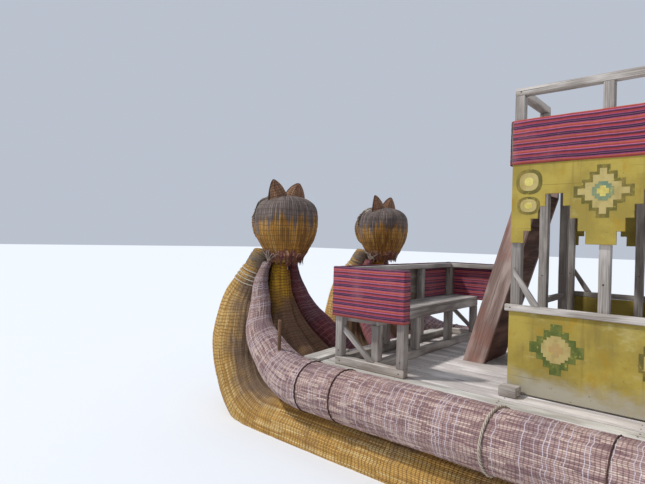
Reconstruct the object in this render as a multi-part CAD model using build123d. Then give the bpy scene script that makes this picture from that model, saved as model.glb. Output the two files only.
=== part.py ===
from build123d import *
from math import sin, cos, radians, sqrt
import os

# A twin-hulled reed boat with a cat's head on each prow, in millimetres.
# +X points to the bow, +Y to port and +Z up. Stations along the boat are measured from a crossbeam
# just behind the bow bench's front posts, ahead positive. Heights are measured from the keel line,
# where the hulls touch the ground. At the end everything is shifted so that the origin is midway
# along the boat.

# Hull bundles
hull_spread = 970          # boat's centreline to a hull's centreline
main_radius = 320          # the two thick bundles of a hull
main_overlap = 10          # how far each is pressed flat against the other
outer_roll_radius = 230    # gunwale roll along the outside
outer_roll_offset = 500    # hull's centreline to the outer roll's
inner_roll_radius = 170    # lower roll that carries the crossbeams
heart_radius = 150         # thin bundle in the groove between the main ones
seat = 0.3                 # gap between round faces that lie on each other
main_offset = main_radius - main_overlap

# Platform
deck_front = 340
deck_rear = -5950
deck_drop = 62.1           # below the outer roll's highest line
deck_inset = 220           # from the outer roll's middle in to the deck's edge
deck_board_thickness = 30
deck_board_width = 185
deck_board_gap = 5
edge_plank_width = 150
beam_height = 110
beam_width = 90
beam_spacing = 750
beam_inset = 20            # from the deck's edge in to a crossbeam's end
bearer_width = 140

# Bow bench
post = 78
bench_front = 84           # front faces of its front posts
bench_length = 755         # a side panel, front to back
bench_half_width = 1145
bench_height = 920
bench_rail_height = 55
base_beam_height = 75
seat_height = 520
seat_board = 32
seat_depth = 400
seat_apron_height = 85
seat_apron_thickness = 30
seat_slats = 3
bench_panel_thickness = 18
bench_panel_bottom = 470
cloth_thickness = 12
bench_brace_foot = 333     # from the bench's rear to its brace's lower end
bench_brace_rise = 370

# Stair
stair_centre = -159
stair_inside = 520
stringer_width = 205
stringer_thickness = 40
stair_foot = -735
stair_rake = 0.298         # how far it leans back for each unit of rise
stair_top = 1900
tread_rise = 307
first_tread = 430
tread_thickness = 35
tread_setback = 15         # from the stringers' front edges
riser_thickness = 20
stair_gap = 0.3

# Cabin
bay = 630
bays = 6
cabin_front = -1440
cabin_half_width = 880
cabin_post = 76
panel_thickness = 18
panel_bottom = 12
waist_rail_top = 704
waist_rail_height = 55
waist_rail_width = 38
valance_top = 1810
valance_arch = 1570
valance_tip = 1190
valance_steps = 4
valance_foot = 196         # width of a valance's lowest point, between two arches
valance_crown = 124        # width of an arch's highest step
band_bottom = 1810
band_top = 2140
floor_height = 1900        # walking surface of the upper storey
floor_board = 28
joist_height = 75
board_lip = 14             # how far the parapet boards stand above the cloth
rail_overhang = 30
front_gate = -210          # middle of the opening at the head of the stair
front_gate_width = 660
gate_rail = 50
brace_width = 62
brace_reach = 230
brace_thickness = 28
side_seat_height = 420
side_seat_depth = 340
seat_leg_inset = 40        # from the seat's inner edge
rail_top = 2420
rail_height = 60

# Loose pieces
plank_length = 560
plank_width = 180
plank_thickness = 25
plank_skew = 5
plank_station = 352
plank_centre = 970
block_station = -1490
block_length = 135
block_width = 120
block_height = 80
block_gap = 22
stake_station = 492
stake_out = 60             # outboard of the roll's middle
stake_radius = 17.5
stake_height = 270
stake_foot_radius = 16     # whittled thinner just above the reeds, clear of a loop round the stake
stake_foot = 15
stake_depth = 80
tenon_radius = 14

# Prow
neck_height = 1925         # where the bundles end under the head
prow_foot = 1000           # the bundles' heights below this don't follow the neck
drawn_rise = 925           # from the foot to the neck, as the bundles' tables are drawn
head_station = 1000
head_rise = 455            # neck to where the head is widest
muzzle_radius = 205
muzzle_reach = 420
muzzle_flare = 55          # how much wider it is where it leaves the head
muzzle_drop = 20           # its middle below the head's widest place
muzzle_round = 68
ear_root = 140             # an ear's hidden lower end above the head's widest place
ear_spread = 110
ear_height = 338           # from the hidden lower end to the tip
ear_radius = 135
ear_tip = 12
ear_lean = 20

# The outer roll rests on the outer main bundle and stands a little above the deck.
outer_roll_height = main_radius + sqrt(
    (main_radius + outer_roll_radius + seat) ** 2 - (outer_roll_offset - main_offset) ** 2)
deck_top = outer_roll_height + outer_roll_radius - deck_drop
deck_half_width = hull_spread + outer_roll_offset - deck_inset
beam_half_length = deck_half_width - beam_inset
beam_top = deck_top - deck_board_thickness
beam_bottom = beam_top - beam_height
# The inner roll lies under the crossbeams, against the inner main bundle.
inner_roll_height = beam_bottom - seat - inner_roll_radius
inner_roll_offset = main_offset + sqrt(
    (main_radius + inner_roll_radius + seat) ** 2 - (inner_roll_height - main_radius) ** 2)
heart_height = main_radius + sqrt((main_radius + heart_radius + seat) ** 2 - main_offset ** 2)

head_height = neck_height + head_rise

wall = cabin_half_width - panel_thickness      # outer face of the posts
post_middle = wall - cabin_post / 2
cabin_rear = cabin_front - bays * bay
post_stations = [cabin_front - cabin_post / 2 - i * (bays * bay - cabin_post) / bays
                 for i in range(bays + 1)]
floor_low = deck_top + floor_height - floor_board
joist_low = floor_low - joist_height

nodes = {}


def box(x_range, y_range, z_range):
    """A board or beam that fills three ranges, given in either order."""
    low = [min(r) for r in (x_range, y_range, z_range)]
    high = [max(r) for r in (x_range, y_range, z_range)]
    middle = [(a + b) / 2 for a, b in zip(low, high)]
    return Pos(*middle) * Box(*[b - a for a, b in zip(low, high)])


def centred(middle, width):
    """The range of a given width about a middle."""
    return (middle - width / 2, middle + width / 2)


def mirrored(solids):
    """The same solids on the other side of the boat."""
    return [mirror(s, about=Plane.XZ) for s in solids]


def section(station, height, direction, radius, offset, pressed):
    """A bundle's cross-section, square to its direction in degrees above level."""
    angle = radians(direction)
    plane = Plane(origin=(station, hull_spread + offset, height), x_dir=(0, 1, 0),
                  z_dir=(cos(angle), 0, sin(angle)))
    if not pressed:
        return plane * Circle(radius)
    # A main bundle is flat where it lies against its twin, at the hull's centreline.
    flat = -pressed * (abs(offset) - seat / 2)
    half = sqrt(radius ** 2 - flat ** 2)
    outline = ThreePointArc((flat, -half), (pressed * radius, 0), (flat, half)) + Line(
        (flat, half), (flat, -half))
    return plane * make_face(outline)


def rising(height):
    """A height above the prow's foot, as drawn for the tables' own rise, fitted to the neck."""
    return prow_foot + height * (neck_height - prow_foot) / drawn_rise


def bundle(bow_rows, stern_rows, pressed=0, side=1):
    """A bundle lofted through its bow rows and its stern rows, with a straight run between."""
    bow = [section(s, h, d, r, side * o, pressed) for s, h, d, r, o in bow_rows]
    stern = [section(stern_start - s, h, -d, r, side * o, pressed) for s, h, d, r, o in stern_rows]
    middle = loft([stern[0], bow[0]])
    return (loft(bow) + middle + loft(stern[::-1])).solid()


# Rows of a bundle: station (at the stern, the distance aft of stern_start), height, direction in
# degrees above level, radius, offset from the hull's centreline.
stern_start = -5900
main_bow = [
    (650, main_radius, 0, main_radius, main_offset),
    (1060, 440, 33, 316, 306),
    (1340, 780, 64, 322, 270),
    (1412, rising(180), 90, 340, 220),
    (1399, rising(580), 112, 240, 180),
    (1310, rising(835), 112, 155, 146),
    (1285, neck_height, 90, 130, 125),
]
main_stern = [
    (0, main_radius, 0, main_radius, main_offset),
    (700, 390, 18, 270, 258),
    (1250, 640, 32, 200, 188),
    (1650, 950, 42, 120, 110),
]
outer_bow = [
    (150, outer_roll_height, 0, outer_roll_radius, outer_roll_offset),
    (460, 900, 22, 216, 496),
    (650, 1003, 36, 198, 475),
    (930, rising(240), 54, 152, 420),
    (1050, rising(530), 72, 105, 310),
    (1100, rising(728), 85, 80, 265),
    (1088, neck_height, 90, 55, 200),
]
outer_stern = [
    (0, outer_roll_height, 0, outer_roll_radius, outer_roll_offset),
    (700, 850, 10, 165, 430),
    (1250, 990, 20, 110, 290),
    (1600, 1190, 28, 70, 150),
]
inner_bow = [
    (60, inner_roll_height, 0, inner_roll_radius, inner_roll_offset),
    (430, 800, 30, 168, 635),
    (680, 985, 40, 156, 575),
    (930, rising(250), 50, 142, 450),
    (1050, rising(530), 74, 105, 315),
    (1100, rising(728), 85, 78, 265),
    (1088, neck_height, 90, 55, 200),
]
inner_stern = [
    (0, inner_roll_height, 0, inner_roll_radius, inner_roll_offset),
    (700, 770, 12, 150, 500),
    (1250, 985, 22, 105, 300),
    (1600, 1190, 30, 70, 150),
]
heart_bow = [
    (300, heart_height, 0, heart_radius, 0),
    (560, 730, 24, 190, 0),
    (790, 880, 42, 232, 0),
    (955, rising(130), 58, 160, 0),
    (1045, rising(400), 74, 118, 0),
    (1090, rising(640), 90, 100, 0),
    (1090, rising(830), 95, 70, 0),
    (1075, neck_height, 90, 55, 0),
]
heart_stern = [
    (0, heart_height, 0, heart_radius, 0),
    (700, 725, 12, 125, 0),
    (1250, 900, 25, 80, 0),
    (1600, 1100, 33, 45, 0),
]

# Columns: name, bow rows, stern rows, side (+1 outer), pressed flat
bundles = [
    ("main_bundle_outer", main_bow, main_stern, 1, 1),
    ("main_bundle_inner", main_bow, main_stern, -1, -1),
    ("heart_bundle", heart_bow, heart_stern, 1, 0),
    ("gunwale_roll_outer", outer_bow, outer_stern, 1, 0),
    ("gunwale_roll_inner", inner_bow, inner_stern, -1, 0),
]
for name, bow_rows, stern_rows, side, pressed in bundles:
    solid = bundle(bow_rows, stern_rows, pressed, side)
    nodes["port_" + name] = [solid]
    nodes["starboard_" + name] = mirrored([solid])

# The mooring stake's tenon stands in a hole in the port roll, where the roll starts to rise.
# Its shoulder lies on the highest point of the reeds beside the hole.
stake_y = hull_spread + outer_roll_offset + stake_out
upright = (Align.CENTER, Align.CENTER, Align.MIN)
column = Pos(stake_station, stake_y, outer_roll_height) * Cylinder(
    stake_foot_radius, 3 * outer_roll_radius, align=upright)
roll = nodes["port_gunwale_roll_outer"][0]
stake_seat = (roll & column).bounding_box().max.Z + seat
hole = Pos(stake_station, stake_y, stake_seat - stake_depth) * Cylinder(
    tenon_radius + seat, 2 * stake_depth, align=upright)
stake = Pos(0, 0, -stake_depth) * Cylinder(tenon_radius, stake_depth, align=upright)
stake += Cylinder(stake_foot_radius, stake_foot, align=upright)
stake += Pos(0, 0, stake_foot) * Cylinder(stake_radius, stake_height - stake_foot, align=upright)
nodes["mooring_stake"] = [(Pos(stake_station, stake_y, stake_seat) * stake).solid()]
nodes["port_gunwale_roll_outer"] = [(roll - hole).solid()]


# A head's outline: distance from its upright axis, height above the neck.
head_outline = [(180, 0), (245, 125), (330, 290), (352, head_rise), (310, 635), (160, 720), (0, 732)]


def skull(grown=0):
    """A head without its muzzle and ears, as it is or thicker by a given amount."""
    points = [(r + grown, neck_height + z + grown) for r, z in head_outline[:-1]]
    points.append((0, neck_height + head_outline[-1][1] + grown))
    low, high = points[0], points[-1]
    outline = Spline(*points, tangents=((1, 3), (-1, 0)))
    outline += Polyline(high, (0, low[1]), low)
    return Pos(head_station, hull_spread, 0) * revolve(make_face(Plane.XZ * outline), Axis.Z)


def prow_head():
    """A cat's head: a ball of reeds drawn in at the neck, with a blunt muzzle ahead."""
    root = Plane(origin=(head_station, hull_spread, head_height - muzzle_drop), z_dir=(1, 0, 0))
    muzzle = loft([root * Circle(muzzle_radius + muzzle_flare),
                   root.offset(muzzle_reach) * Circle(muzzle_radius)])
    nose = muzzle.faces().sort_by(Axis.X)[-1]
    return (skull() + fillet(nose.edges(), muzzle_round)).solid()


def ear(across):
    """A pointed ear, leaning outward, that stands on the head."""
    cone = Cone(ear_radius, ear_tip, ear_height, align=(Align.CENTER, Align.CENTER, Align.MIN))
    place = Pos(head_station, hull_spread + across * ear_spread, head_height + ear_root)
    return (place * Rot(-ear_lean * across, 0, 0) * cone - skull(seat)).solid()


for name, across in (("port", 0), ("starboard", -2 * hull_spread)):
    nodes[name + "_head"] = [Pos(0, across, 0) * prow_head()]
    nodes[name + "_ears"] = [Pos(0, across, 0) * ear(side) for side in (1, -1)]


def platform():
    """Bearers on the heart bundles, crossbeams on them, and boards laid lengthwise on top."""
    heart_top = heart_height + heart_radius + seat
    run = (stern_start, 0)
    nodes["bearers"] = [box(run, centred(s * hull_spread, bearer_width), (heart_top, beam_bottom))
                        for s in (1, -1)]
    count = int((deck_front - deck_rear - 2 * beam_width) // beam_spacing)
    first = -beam_width
    nodes["crossbeams"] = [
        box(centred(first - i * beam_spacing, beam_width), (-beam_half_length, beam_half_length),
            (beam_bottom, beam_top)) for i in range(count)]
    edge_inside = deck_half_width - edge_plank_width
    nodes["edge_planks"] = [
        box((deck_rear, deck_front), (s * edge_inside, s * deck_half_width), (beam_top, deck_top))
        for s in (1, -1)]
    pitch = deck_board_width + deck_board_gap
    boards = int((2 * edge_inside - deck_board_gap) // pitch)
    gap = (2 * edge_inside - boards * deck_board_width) / (boards + 1)
    nodes["deck_boards"] = [
        box((deck_rear, deck_front),
            (-edge_inside + gap + i * (deck_board_width + gap),
             -edge_inside + (i + 1) * (deck_board_width + gap)), (beam_top, deck_top))
        for i in range(boards)]


def bow_bench():
    """A bench across the bow with a back and two short side panels, cloth on their outsides."""
    floor = deck_top
    rail_low = floor + bench_height - bench_rail_height
    top = floor + bench_height
    front = bench_front
    rear = front - bench_length
    inside = bench_half_width - post / 2
    base_top = floor + base_beam_height
    side_posts = []
    for s in (1, -1):
        for station in (front - post / 2, rear + post / 2):
            side_posts.append(box(centred(station, post), centred(s * bench_half_width, post),
                                  (base_top, rail_low)))
    back_posts = [box(centred(front - post / 2, post), centred(y, post), (base_top, rail_low))
                  for y in (-inside / 3, inside / 3)]
    nodes["bench_posts"] = side_posts + back_posts
    nodes["bench_base_beams"] = [
        box((rear, front), centred(s * bench_half_width, post), (floor, base_top))
        for s in (1, -1)] + [
        box(centred(station, post), (-inside, inside), (floor, base_top))
        for station in (front - post / 2, front - seat_depth)]
    nodes["bench_rails"] = [
        box((rear, front), centred(s * bench_half_width, post), (rail_low, top))
        for s in (1, -1)] + [box((front - post, front), (-inside, inside), (rail_low, top))]
    seat_top = floor + seat_height
    apron_low = seat_top - seat_board - seat_apron_height
    seat_rear = front - seat_depth - post / 2
    apron = seat_apron_thickness
    nodes["bench_seat_frame"] = [
        box((seat_rear, seat_rear + apron), (-inside, inside), (apron_low, seat_top - seat_board)),
    ]
    for y, end in ((-inside + post / 2, front), (-inside / 3, front - post),
                   (inside / 3, front - post), (inside - post / 2, front)):
        nodes["bench_seat_frame"] += [
            box(centred(front - seat_depth, post), centred(y, post), (base_top, apron_low)),
            box((seat_rear + apron, end), centred(y, seat_board),
                (apron_low, seat_top - seat_board))]
    slat = (front - post - seat_rear) / seat_slats
    nodes["bench_seat_boards"] = [
        box((seat_rear + i * slat, seat_rear + (i + 1) * slat - deck_board_gap),
            (-inside, inside), (seat_top - seat_board, seat_top)) for i in range(seat_slats)]
    panel_low = floor + bench_panel_bottom
    outside = bench_half_width + post / 2
    nodes["bench_back_panels"] = [
        box((rear, front), (s * outside, s * (outside + bench_panel_thickness)), (panel_low, top))
        for s in (1, -1)] + [
        box((front, front + bench_panel_thickness), (-outside, outside), (panel_low, top))]
    cloth_out = outside + bench_panel_thickness
    ahead = front + bench_panel_thickness
    for name, s in (("port", 1), ("starboard", -1)):
        nodes["bench_cloth_" + name] = [
            box((rear, ahead), (s * cloth_out, s * (cloth_out + cloth_thickness)),
                (panel_low, top))]
    nodes["bench_cloth_front"] = [
        box((ahead, ahead + cloth_thickness), (-cloth_out, cloth_out), (panel_low, top))]
    brace = []
    for s in (1, -1):
        low = (rear + bench_brace_foot, base_top)
        high = (front - post, floor + bench_brace_rise)
        outline = Polyline((low[0], low[1]), (low[0] + brace_width, low[1]),
                           (high[0], high[1] - brace_width), (high[0], high[1]), close=True)
        plate = extrude(Plane.XZ * make_face(outline), post / 4, both=True)
        brace.append(Pos(0, s * bench_half_width, 0) * plate)
    nodes["bench_braces"] = brace


def raked(station, low, high, width):
    """The outline in side view of a plank that leans aft as it rises."""
    foot = station - stair_rake * (low - deck_top)
    head = station - stair_rake * (high - deck_top)
    return Polyline((foot, low), (head, high), (head - width, high), (foot - width, low),
                    close=True)


def stair():
    """A steep stair with wide plank sides, treads let in between them and closed risers."""
    high = deck_top + stair_top
    level = stringer_width * sqrt(1 + stair_rake ** 2)
    outline = make_face(Plane.XZ * raked(stair_foot, deck_top, high, level))
    half = stair_inside / 2
    keep = box((cabin_front + stair_gap, 0), (-deck_half_width, deck_half_width),
               (deck_top, high))
    nodes["stair_stringers"] = [
        (Pos(0, stair_centre + s * (half + stringer_thickness / 2), 0)
         * extrude(outline, stringer_thickness / 2, both=True)) & keep for s in (1, -1)]
    treads, risers = [], []
    count = int((stair_top - first_tread) // tread_rise) + 1
    below = deck_top
    for i in range(count):
        top = deck_top + first_tread + i * tread_rise
        nose = stair_foot - stair_rake * (top - deck_top)
        across = centred(stair_centre, stair_inside)
        back = max(nose - level, cabin_front + stair_gap)
        treads.append(box((back, nose - tread_setback), across, (top - tread_thickness, top)))
        slab = make_face(Plane.XZ * raked(stair_foot - level + riser_thickness, below,
                                          top - tread_thickness, riser_thickness))
        risers.append(Pos(0, stair_centre, 0) * extrude(slab, stair_inside / 2, both=True))
        below = top
    nodes["stair_treads"] = treads
    nodes["stair_risers"] = risers


def valance(length, count):
    """A board with stepped arches cut up into its lower edge, one for each bay."""
    top, tip, arch = (deck_top + z for z in (valance_top, valance_tip, valance_arch))
    board = Pos(-length / 2, 0, 0) * Rectangle(length, top - tip, align=(Align.CENTER, Align.MIN))
    pitch = length / count
    rise = (arch - tip) / valance_steps
    widest, narrowest = (pitch - valance_foot) / 2, valance_crown / 2
    for i in range(count):
        middle = -(i + 0.5) * pitch
        for k in range(valance_steps):
            half = widest - k * (widest - narrowest) / (valance_steps - 1)
            board -= Pos(middle, rise * k) * Rectangle(2 * half, rise,
                                                       align=(Align.CENTER, Align.MIN))
    sheet = extrude(Plane.XZ * board, panel_thickness / 2, both=True)
    return Pos(cabin_front, 0, tip) * sheet


def side_boards(name, x_range, thickness, outside, z_range):
    """A board on each side of the cabin, its outer face a given distance off the centreline."""
    nodes[name] = [box(x_range, (s * (outside - thickness), s * outside), z_range)
                   for s in (1, -1)]


def lower_storey():
    """Square posts with plywood waist panels, a waist rail, valances, braces and side benches."""
    low, high = deck_top, joist_low
    posts = [box(centred(x, cabin_post), centred(s * post_middle, cabin_post), (low, high))
             for x in post_stations for s in (1, -1)]
    front = post_stations[0]
    gate = [front_gate + s * front_gate_width / 2 for s in (1, -1)]
    nodes["cabin_posts"] = posts + [box(centred(x, cabin_post), centred(y, cabin_post), (low, high))
                                    for x in (front, post_stations[-1]) for y in gate]
    waist = deck_top + waist_rail_top
    run = (cabin_front, cabin_rear)
    side_boards("waist_panels", run, panel_thickness, cabin_half_width,
                (low + panel_bottom, waist - waist_rail_height))
    side_boards("waist_rails", (cabin_front + rail_overhang, cabin_rear - rail_overhang),
                waist_rail_width, wall + waist_rail_width, (waist - waist_rail_height, waist))
    nodes["gate_rails"] = [
        box(centred(x, gate_rail), (gate[0] - cabin_post / 2, gate[1] + cabin_post / 2),
            (waist - waist_rail_height, waist)) for x in (front, post_stations[-1])]
    for name, s in (("port", 1), ("starboard", -1)):
        board = valance(cabin_front - cabin_rear, bays)
        nodes["valance_" + name] = [Pos(0, s * (wall + panel_thickness / 2), 0) * board]
    outline = make_face(Polyline((-brace_reach, 0), (-brace_reach + brace_width, 0),
                                 (-brace_width / 2, brace_reach), (-brace_width / 2,
                                 brace_reach + brace_width), close=True))
    nodes["knee_braces"] = [
        Pos(cabin_front, s * (wall + brace_thickness / 2), waist)
        * extrude(Plane.XZ * outline, brace_thickness / 2, both=True) for s in (1, -1)]
    seat_out = wall - cabin_post
    seats, legs = [], []
    bench_run = (cabin_front - cabin_post, cabin_rear + cabin_post)
    for s in (1, -1):
        seats.append(box(bench_run, (s * (seat_out - side_seat_depth), s * seat_out),
                         (low + side_seat_height - seat_board, low + side_seat_height)))
        for x in post_stations[1:-1]:
            legs.append(box(centred(x, seat_board),
                            (s * (seat_out - side_seat_depth + seat_leg_inset), s * seat_out),
                            (low, low + side_seat_height - seat_board)))
    nodes["side_seats"] = seats
    nodes["side_seat_legs"] = legs


def upper_storey():
    """Joists and a boarded floor, with a parapet hung with cloth and a guard rail on posts."""
    floor = deck_top + floor_height
    nodes["upper_joists"] = [box(centred(x, cabin_post), (-wall, wall), (joist_low, floor_low))
                             for x in post_stations]
    boards = int((2 * wall + deck_board_gap) // (deck_board_width + deck_board_gap))
    width = (2 * wall - (boards - 1) * deck_board_gap) / boards
    nodes["upper_floor"] = [
        box((cabin_front, cabin_rear),
            (-wall + i * (width + deck_board_gap), -wall + i * (width + deck_board_gap) + width),
            (floor_low, floor)) for i in range(boards)]
    low, high = deck_top + band_bottom, deck_top + band_top
    side_boards("parapet_sides", (cabin_front, cabin_rear), panel_thickness, cabin_half_width,
                (low, high + board_lip))
    gap = [front_gate + s * front_gate_width / 2 for s in (1, -1)]
    front_runs = [(gap[0] + cabin_post / 2, wall), (-wall, gap[1] - cabin_post / 2)]
    ahead = (cabin_front, cabin_front + panel_thickness)
    behind = (cabin_rear - panel_thickness, cabin_rear)
    nodes["parapet_ends"] = [box(ahead, run, (low, high + board_lip)) for run in front_runs] + [
        box(behind, (-wall, wall), (low, high + board_lip))]
    out = cabin_half_width + cloth_thickness
    for name, s in (("port", 1), ("starboard", -1)):
        nodes["band_" + name] = [box((cabin_rear, cabin_front), (s * cabin_half_width, s * out),
                                     (low, high))]
    nodes["band_front"] = [
        box((ahead[1], ahead[1] + cloth_thickness), run, (low, high)) for run in front_runs]
    nodes["band_aft"] = [box((behind[0] - cloth_thickness, behind[0]), (-wall, wall), (low, high))]
    rail = deck_top + rail_top
    ends = [gap[0] + cabin_post, gap[1] - cabin_post]
    posts = [(x, s * post_middle) for x in post_stations for s in (1, -1)]
    posts += [(post_stations[0], y) for y in ends]
    nodes["rail_posts"] = [box(centred(x, cabin_post), centred(y, cabin_post),
                               (floor, rail - rail_height)) for x, y in posts]
    inside = wall - cabin_post
    front = centred(post_stations[0], cabin_post)
    aft = centred(post_stations[-1], cabin_post)
    nodes["guard_rails"] = [
        box((cabin_front, cabin_rear), (s * inside, s * wall), (rail - rail_height, rail))
        for s in (1, -1)] + [
        box(front, (ends[0] - cabin_post / 2, inside), (rail - rail_height, rail)),
        box(front, (-inside, ends[1] + cabin_post / 2), (rail - rail_height, rail)),
        box(aft, (-inside, inside), (rail - rail_height, rail))]


def loose_pieces():
    """A short plank lying across the deck's front edge, and a block beside the cabin."""
    plank = box((-plank_width / 2, plank_width / 2), (-plank_length / 2, plank_length / 2),
                (deck_top, deck_top + plank_thickness))
    nodes["loose_plank"] = [Pos(plank_station, plank_centre, 0) * Rot(0, 0, plank_skew) * plank]
    nodes["wood_block"] = [box(centred(block_station, block_length),
                               (cabin_half_width + block_gap,
                                cabin_half_width + block_gap + block_width),
                               (deck_top, deck_top + block_height))]


platform()
bow_bench()
stair()
lower_storey()
upper_storey()
loose_pieces()

os.makedirs("parts", exist_ok=True)
boxes = [s.bounding_box() for solids in nodes.values() for s in solids]
bow, stern = max(b.max.X for b in boxes), min(b.min.X for b in boxes)
shift = Pos(-(bow + stern) / 2, 0, 0)
for name, solids in nodes.items():
    placed = [(shift * s).solid() for s in solids]
    export_step(placed[0] if len(placed) == 1 else Compound(placed), "parts/" + name + ".step")
print("length", round(bow - stern, 1), "moved forward by", round(-(bow + stern) / 2, 4),
      "stake seat", round(stake_seat, 3))
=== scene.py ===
import math

import bmesh
import bpy
import numpy as np
from mathutils import Matrix, Vector


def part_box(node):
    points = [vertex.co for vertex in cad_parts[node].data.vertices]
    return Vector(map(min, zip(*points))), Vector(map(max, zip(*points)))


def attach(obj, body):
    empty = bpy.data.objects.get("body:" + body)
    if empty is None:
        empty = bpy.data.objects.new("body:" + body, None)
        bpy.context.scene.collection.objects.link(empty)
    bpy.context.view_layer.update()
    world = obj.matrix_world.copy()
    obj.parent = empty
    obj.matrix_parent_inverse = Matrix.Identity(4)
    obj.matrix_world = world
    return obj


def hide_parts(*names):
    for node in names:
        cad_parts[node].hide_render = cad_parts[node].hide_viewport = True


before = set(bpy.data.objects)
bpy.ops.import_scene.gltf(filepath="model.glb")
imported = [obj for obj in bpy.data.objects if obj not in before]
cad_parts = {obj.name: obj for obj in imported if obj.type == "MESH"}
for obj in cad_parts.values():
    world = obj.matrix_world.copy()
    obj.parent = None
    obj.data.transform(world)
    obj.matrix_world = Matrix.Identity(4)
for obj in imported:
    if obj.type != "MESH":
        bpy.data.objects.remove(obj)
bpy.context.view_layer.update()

rng = np.random.default_rng(7)
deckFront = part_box("deck_boards")[1].x
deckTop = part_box("deck_boards")[1].z
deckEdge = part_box("edge_planks")[1].y
hullY = sum(v.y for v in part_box("port_head")) / 2
zero = deckFront - 0.34                # stations in the tables below count from here
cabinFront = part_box("waist_panels")[1].x
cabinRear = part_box("waist_panels")[0].x
print("frame loaded, deck at", round(deckTop, 3))


# Camera, floor and light

view = {"lens": 26.8, "sensor": 36, "far": 300, "station": -2.80, "outboard": 3.51, "aboveDeck": 1.168,
        "look": (0.652, -0.758, -0.0027), "rollDegrees": 1.47}
studio = {"waterline": 0.30, "size": 90.0, "floor": (0.80, 0.82, 0.84, 1), "roughness": 0.85,
          "sky": (0.80, 0.87, 1.0, 1), "skyStrength": 0.62,
          "sunTravel": (-0.50, -0.42, -0.86), "sunStrength": 2.5, "sunDegrees": 4}


def makeCamera():
    # A camera at the photograph's eye, beside the cabin, that looks ahead over the port hull.
    data = bpy.data.cameras.new("camera")
    data.lens = view["lens"]
    data.sensor_width = view["sensor"]
    data.clip_end = view["far"]
    ahead = np.array(view["look"])
    ahead = ahead / np.linalg.norm(ahead)
    right = np.cross(ahead, [0, 0, 1])
    right /= np.linalg.norm(right)
    up = np.cross(right, ahead)
    turn = math.radians(view["rollDegrees"])
    across = math.cos(turn) * right + math.sin(turn) * up
    above = np.cross(across, ahead)
    place = np.eye(4)
    place[:3, 0], place[:3, 1], place[:3, 2] = across, above, -ahead
    place[:3, 3] = zero + view["station"], deckEdge + view["outboard"], deckTop + view["aboveDeck"]
    camera = bpy.data.objects.new("camera", data)
    camera.matrix_world = Matrix(place.tolist())
    bpy.context.scene.collection.objects.link(camera)
    bpy.context.scene.camera = camera


def makeStudio():
    # A pale floor at the waterline, a soft sky and one broad sun from the port bow.
    size = studio["size"]
    mesh = bpy.data.meshes.new("floor")
    mesh.from_pydata([(-size, -size, 0), (size, -size, 0), (size, size, 0), (-size, size, 0)],
                     [], [(0, 1, 2, 3)])
    floor = bpy.data.objects.new("floor", mesh)
    floor.location.z = studio["waterline"]
    bpy.context.scene.collection.objects.link(floor)
    pale = bpy.data.materials.new("paleFloor")
    pale.use_nodes = True
    shader = pale.node_tree.nodes["Principled BSDF"]
    shader.inputs["Base Color"].default_value = studio["floor"]
    shader.inputs["Roughness"].default_value = studio["roughness"]
    mesh.materials.append(pale)
    world = bpy.data.worlds.new("sky")
    world.use_nodes = True
    background = world.node_tree.nodes["Background"]
    background.inputs["Color"].default_value = studio["sky"]
    background.inputs["Strength"].default_value = studio["skyStrength"]
    bpy.context.scene.world = world
    sun = bpy.data.lights.new("sun", "SUN")
    sun.energy = studio["sunStrength"]
    sun.angle = math.radians(studio["sunDegrees"])
    lamp = bpy.data.objects.new("sun", sun)
    lamp.rotation_mode = "QUATERNION"
    lamp.rotation_quaternion = Vector(studio["sunTravel"]).to_track_quat("-Z", "Y")
    bpy.context.scene.collection.objects.link(lamp)
    bpy.context.scene.view_settings.view_transform = "Standard"


makeCamera()
makeStudio()
print("camera and studio ready")


# Shader values

class Wire:
    # An output of a node. Arithmetic on it adds one maths node for each operation.
    def __init__(self, tree, socket):
        self.tree, self.socket = tree, socket

    def __add__(self, other):
        return maths("ADD", self, other)

    def __sub__(self, other):
        return maths("SUBTRACT", self, other)

    def __rsub__(self, other):
        return maths("SUBTRACT", other, self)

    def __mul__(self, other):
        return maths("MULTIPLY", self, other)

    def __truediv__(self, other):
        return maths("DIVIDE", self, other)


def paint(colour):
    # A colour given as it looks, from 0 to 255, in the linear values that a shader takes.
    return (*((v / 255 / 12.92) if v < 10 else ((v / 255 + 0.055) / 1.055) ** 2.4 for v in colour), 1)


def put(value, socket):
    # Links a wire to a socket, or writes a number or a colour there.
    if isinstance(value, Wire):
        value.tree.links.new(value.socket, socket)
    else:
        socket.default_value = paint(value) if socket.type == "RGBA" else value


def newNode(tree, kind, inputs=(), output=0, **settings):
    # A new node with its settings and inputs. What comes back is one of its outputs.
    made = tree.nodes.new("ShaderNode" + kind)
    for key, value in settings.items():
        setattr(made, key, value)
    for key, value in dict(inputs).items():
        put(value, made.inputs[key])
    return Wire(tree, made.outputs[output])


def outputs(wire):
    # All the outputs of a wire's node, by name.
    return {socket.name: Wire(wire.tree, socket) for socket in wire.socket.node.outputs}


def treeOf(*values):
    # The node tree of the first wire among the values.
    return next(value.tree for value in values if isinstance(value, Wire))


def maths(operation, *values):
    # One maths node on the values, in their order.
    return newNode(treeOf(*values), "Math", enumerate(values), operation=operation)


def blend(amount, first, second, kind="MIX"):
    # From the first colour, where the amount is 0, to the second, where it is 1.
    return newNode(treeOf(amount, first, second), "Mix", {0: amount, 6: first, 7: second}, 2,
                   data_type="RGBA", blend_type=kind)


def layered(colour, *layers):
    # Each further colour lies over the ones before as far as its mask says.
    for mask, over in layers:
        colour = blend(mask, colour, over)
    return colour


def shaded(colour, value):
    # Red, green and blue, each times the value.
    return blend(1.0, colour, vectorOf(value, value, value), "MULTIPLY")


def vectorOf(x, y, z=0.0):
    # Three values as one vector.
    return newNode(treeOf(x, y, z), "CombineXYZ", enumerate((x, y, z)))


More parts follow.
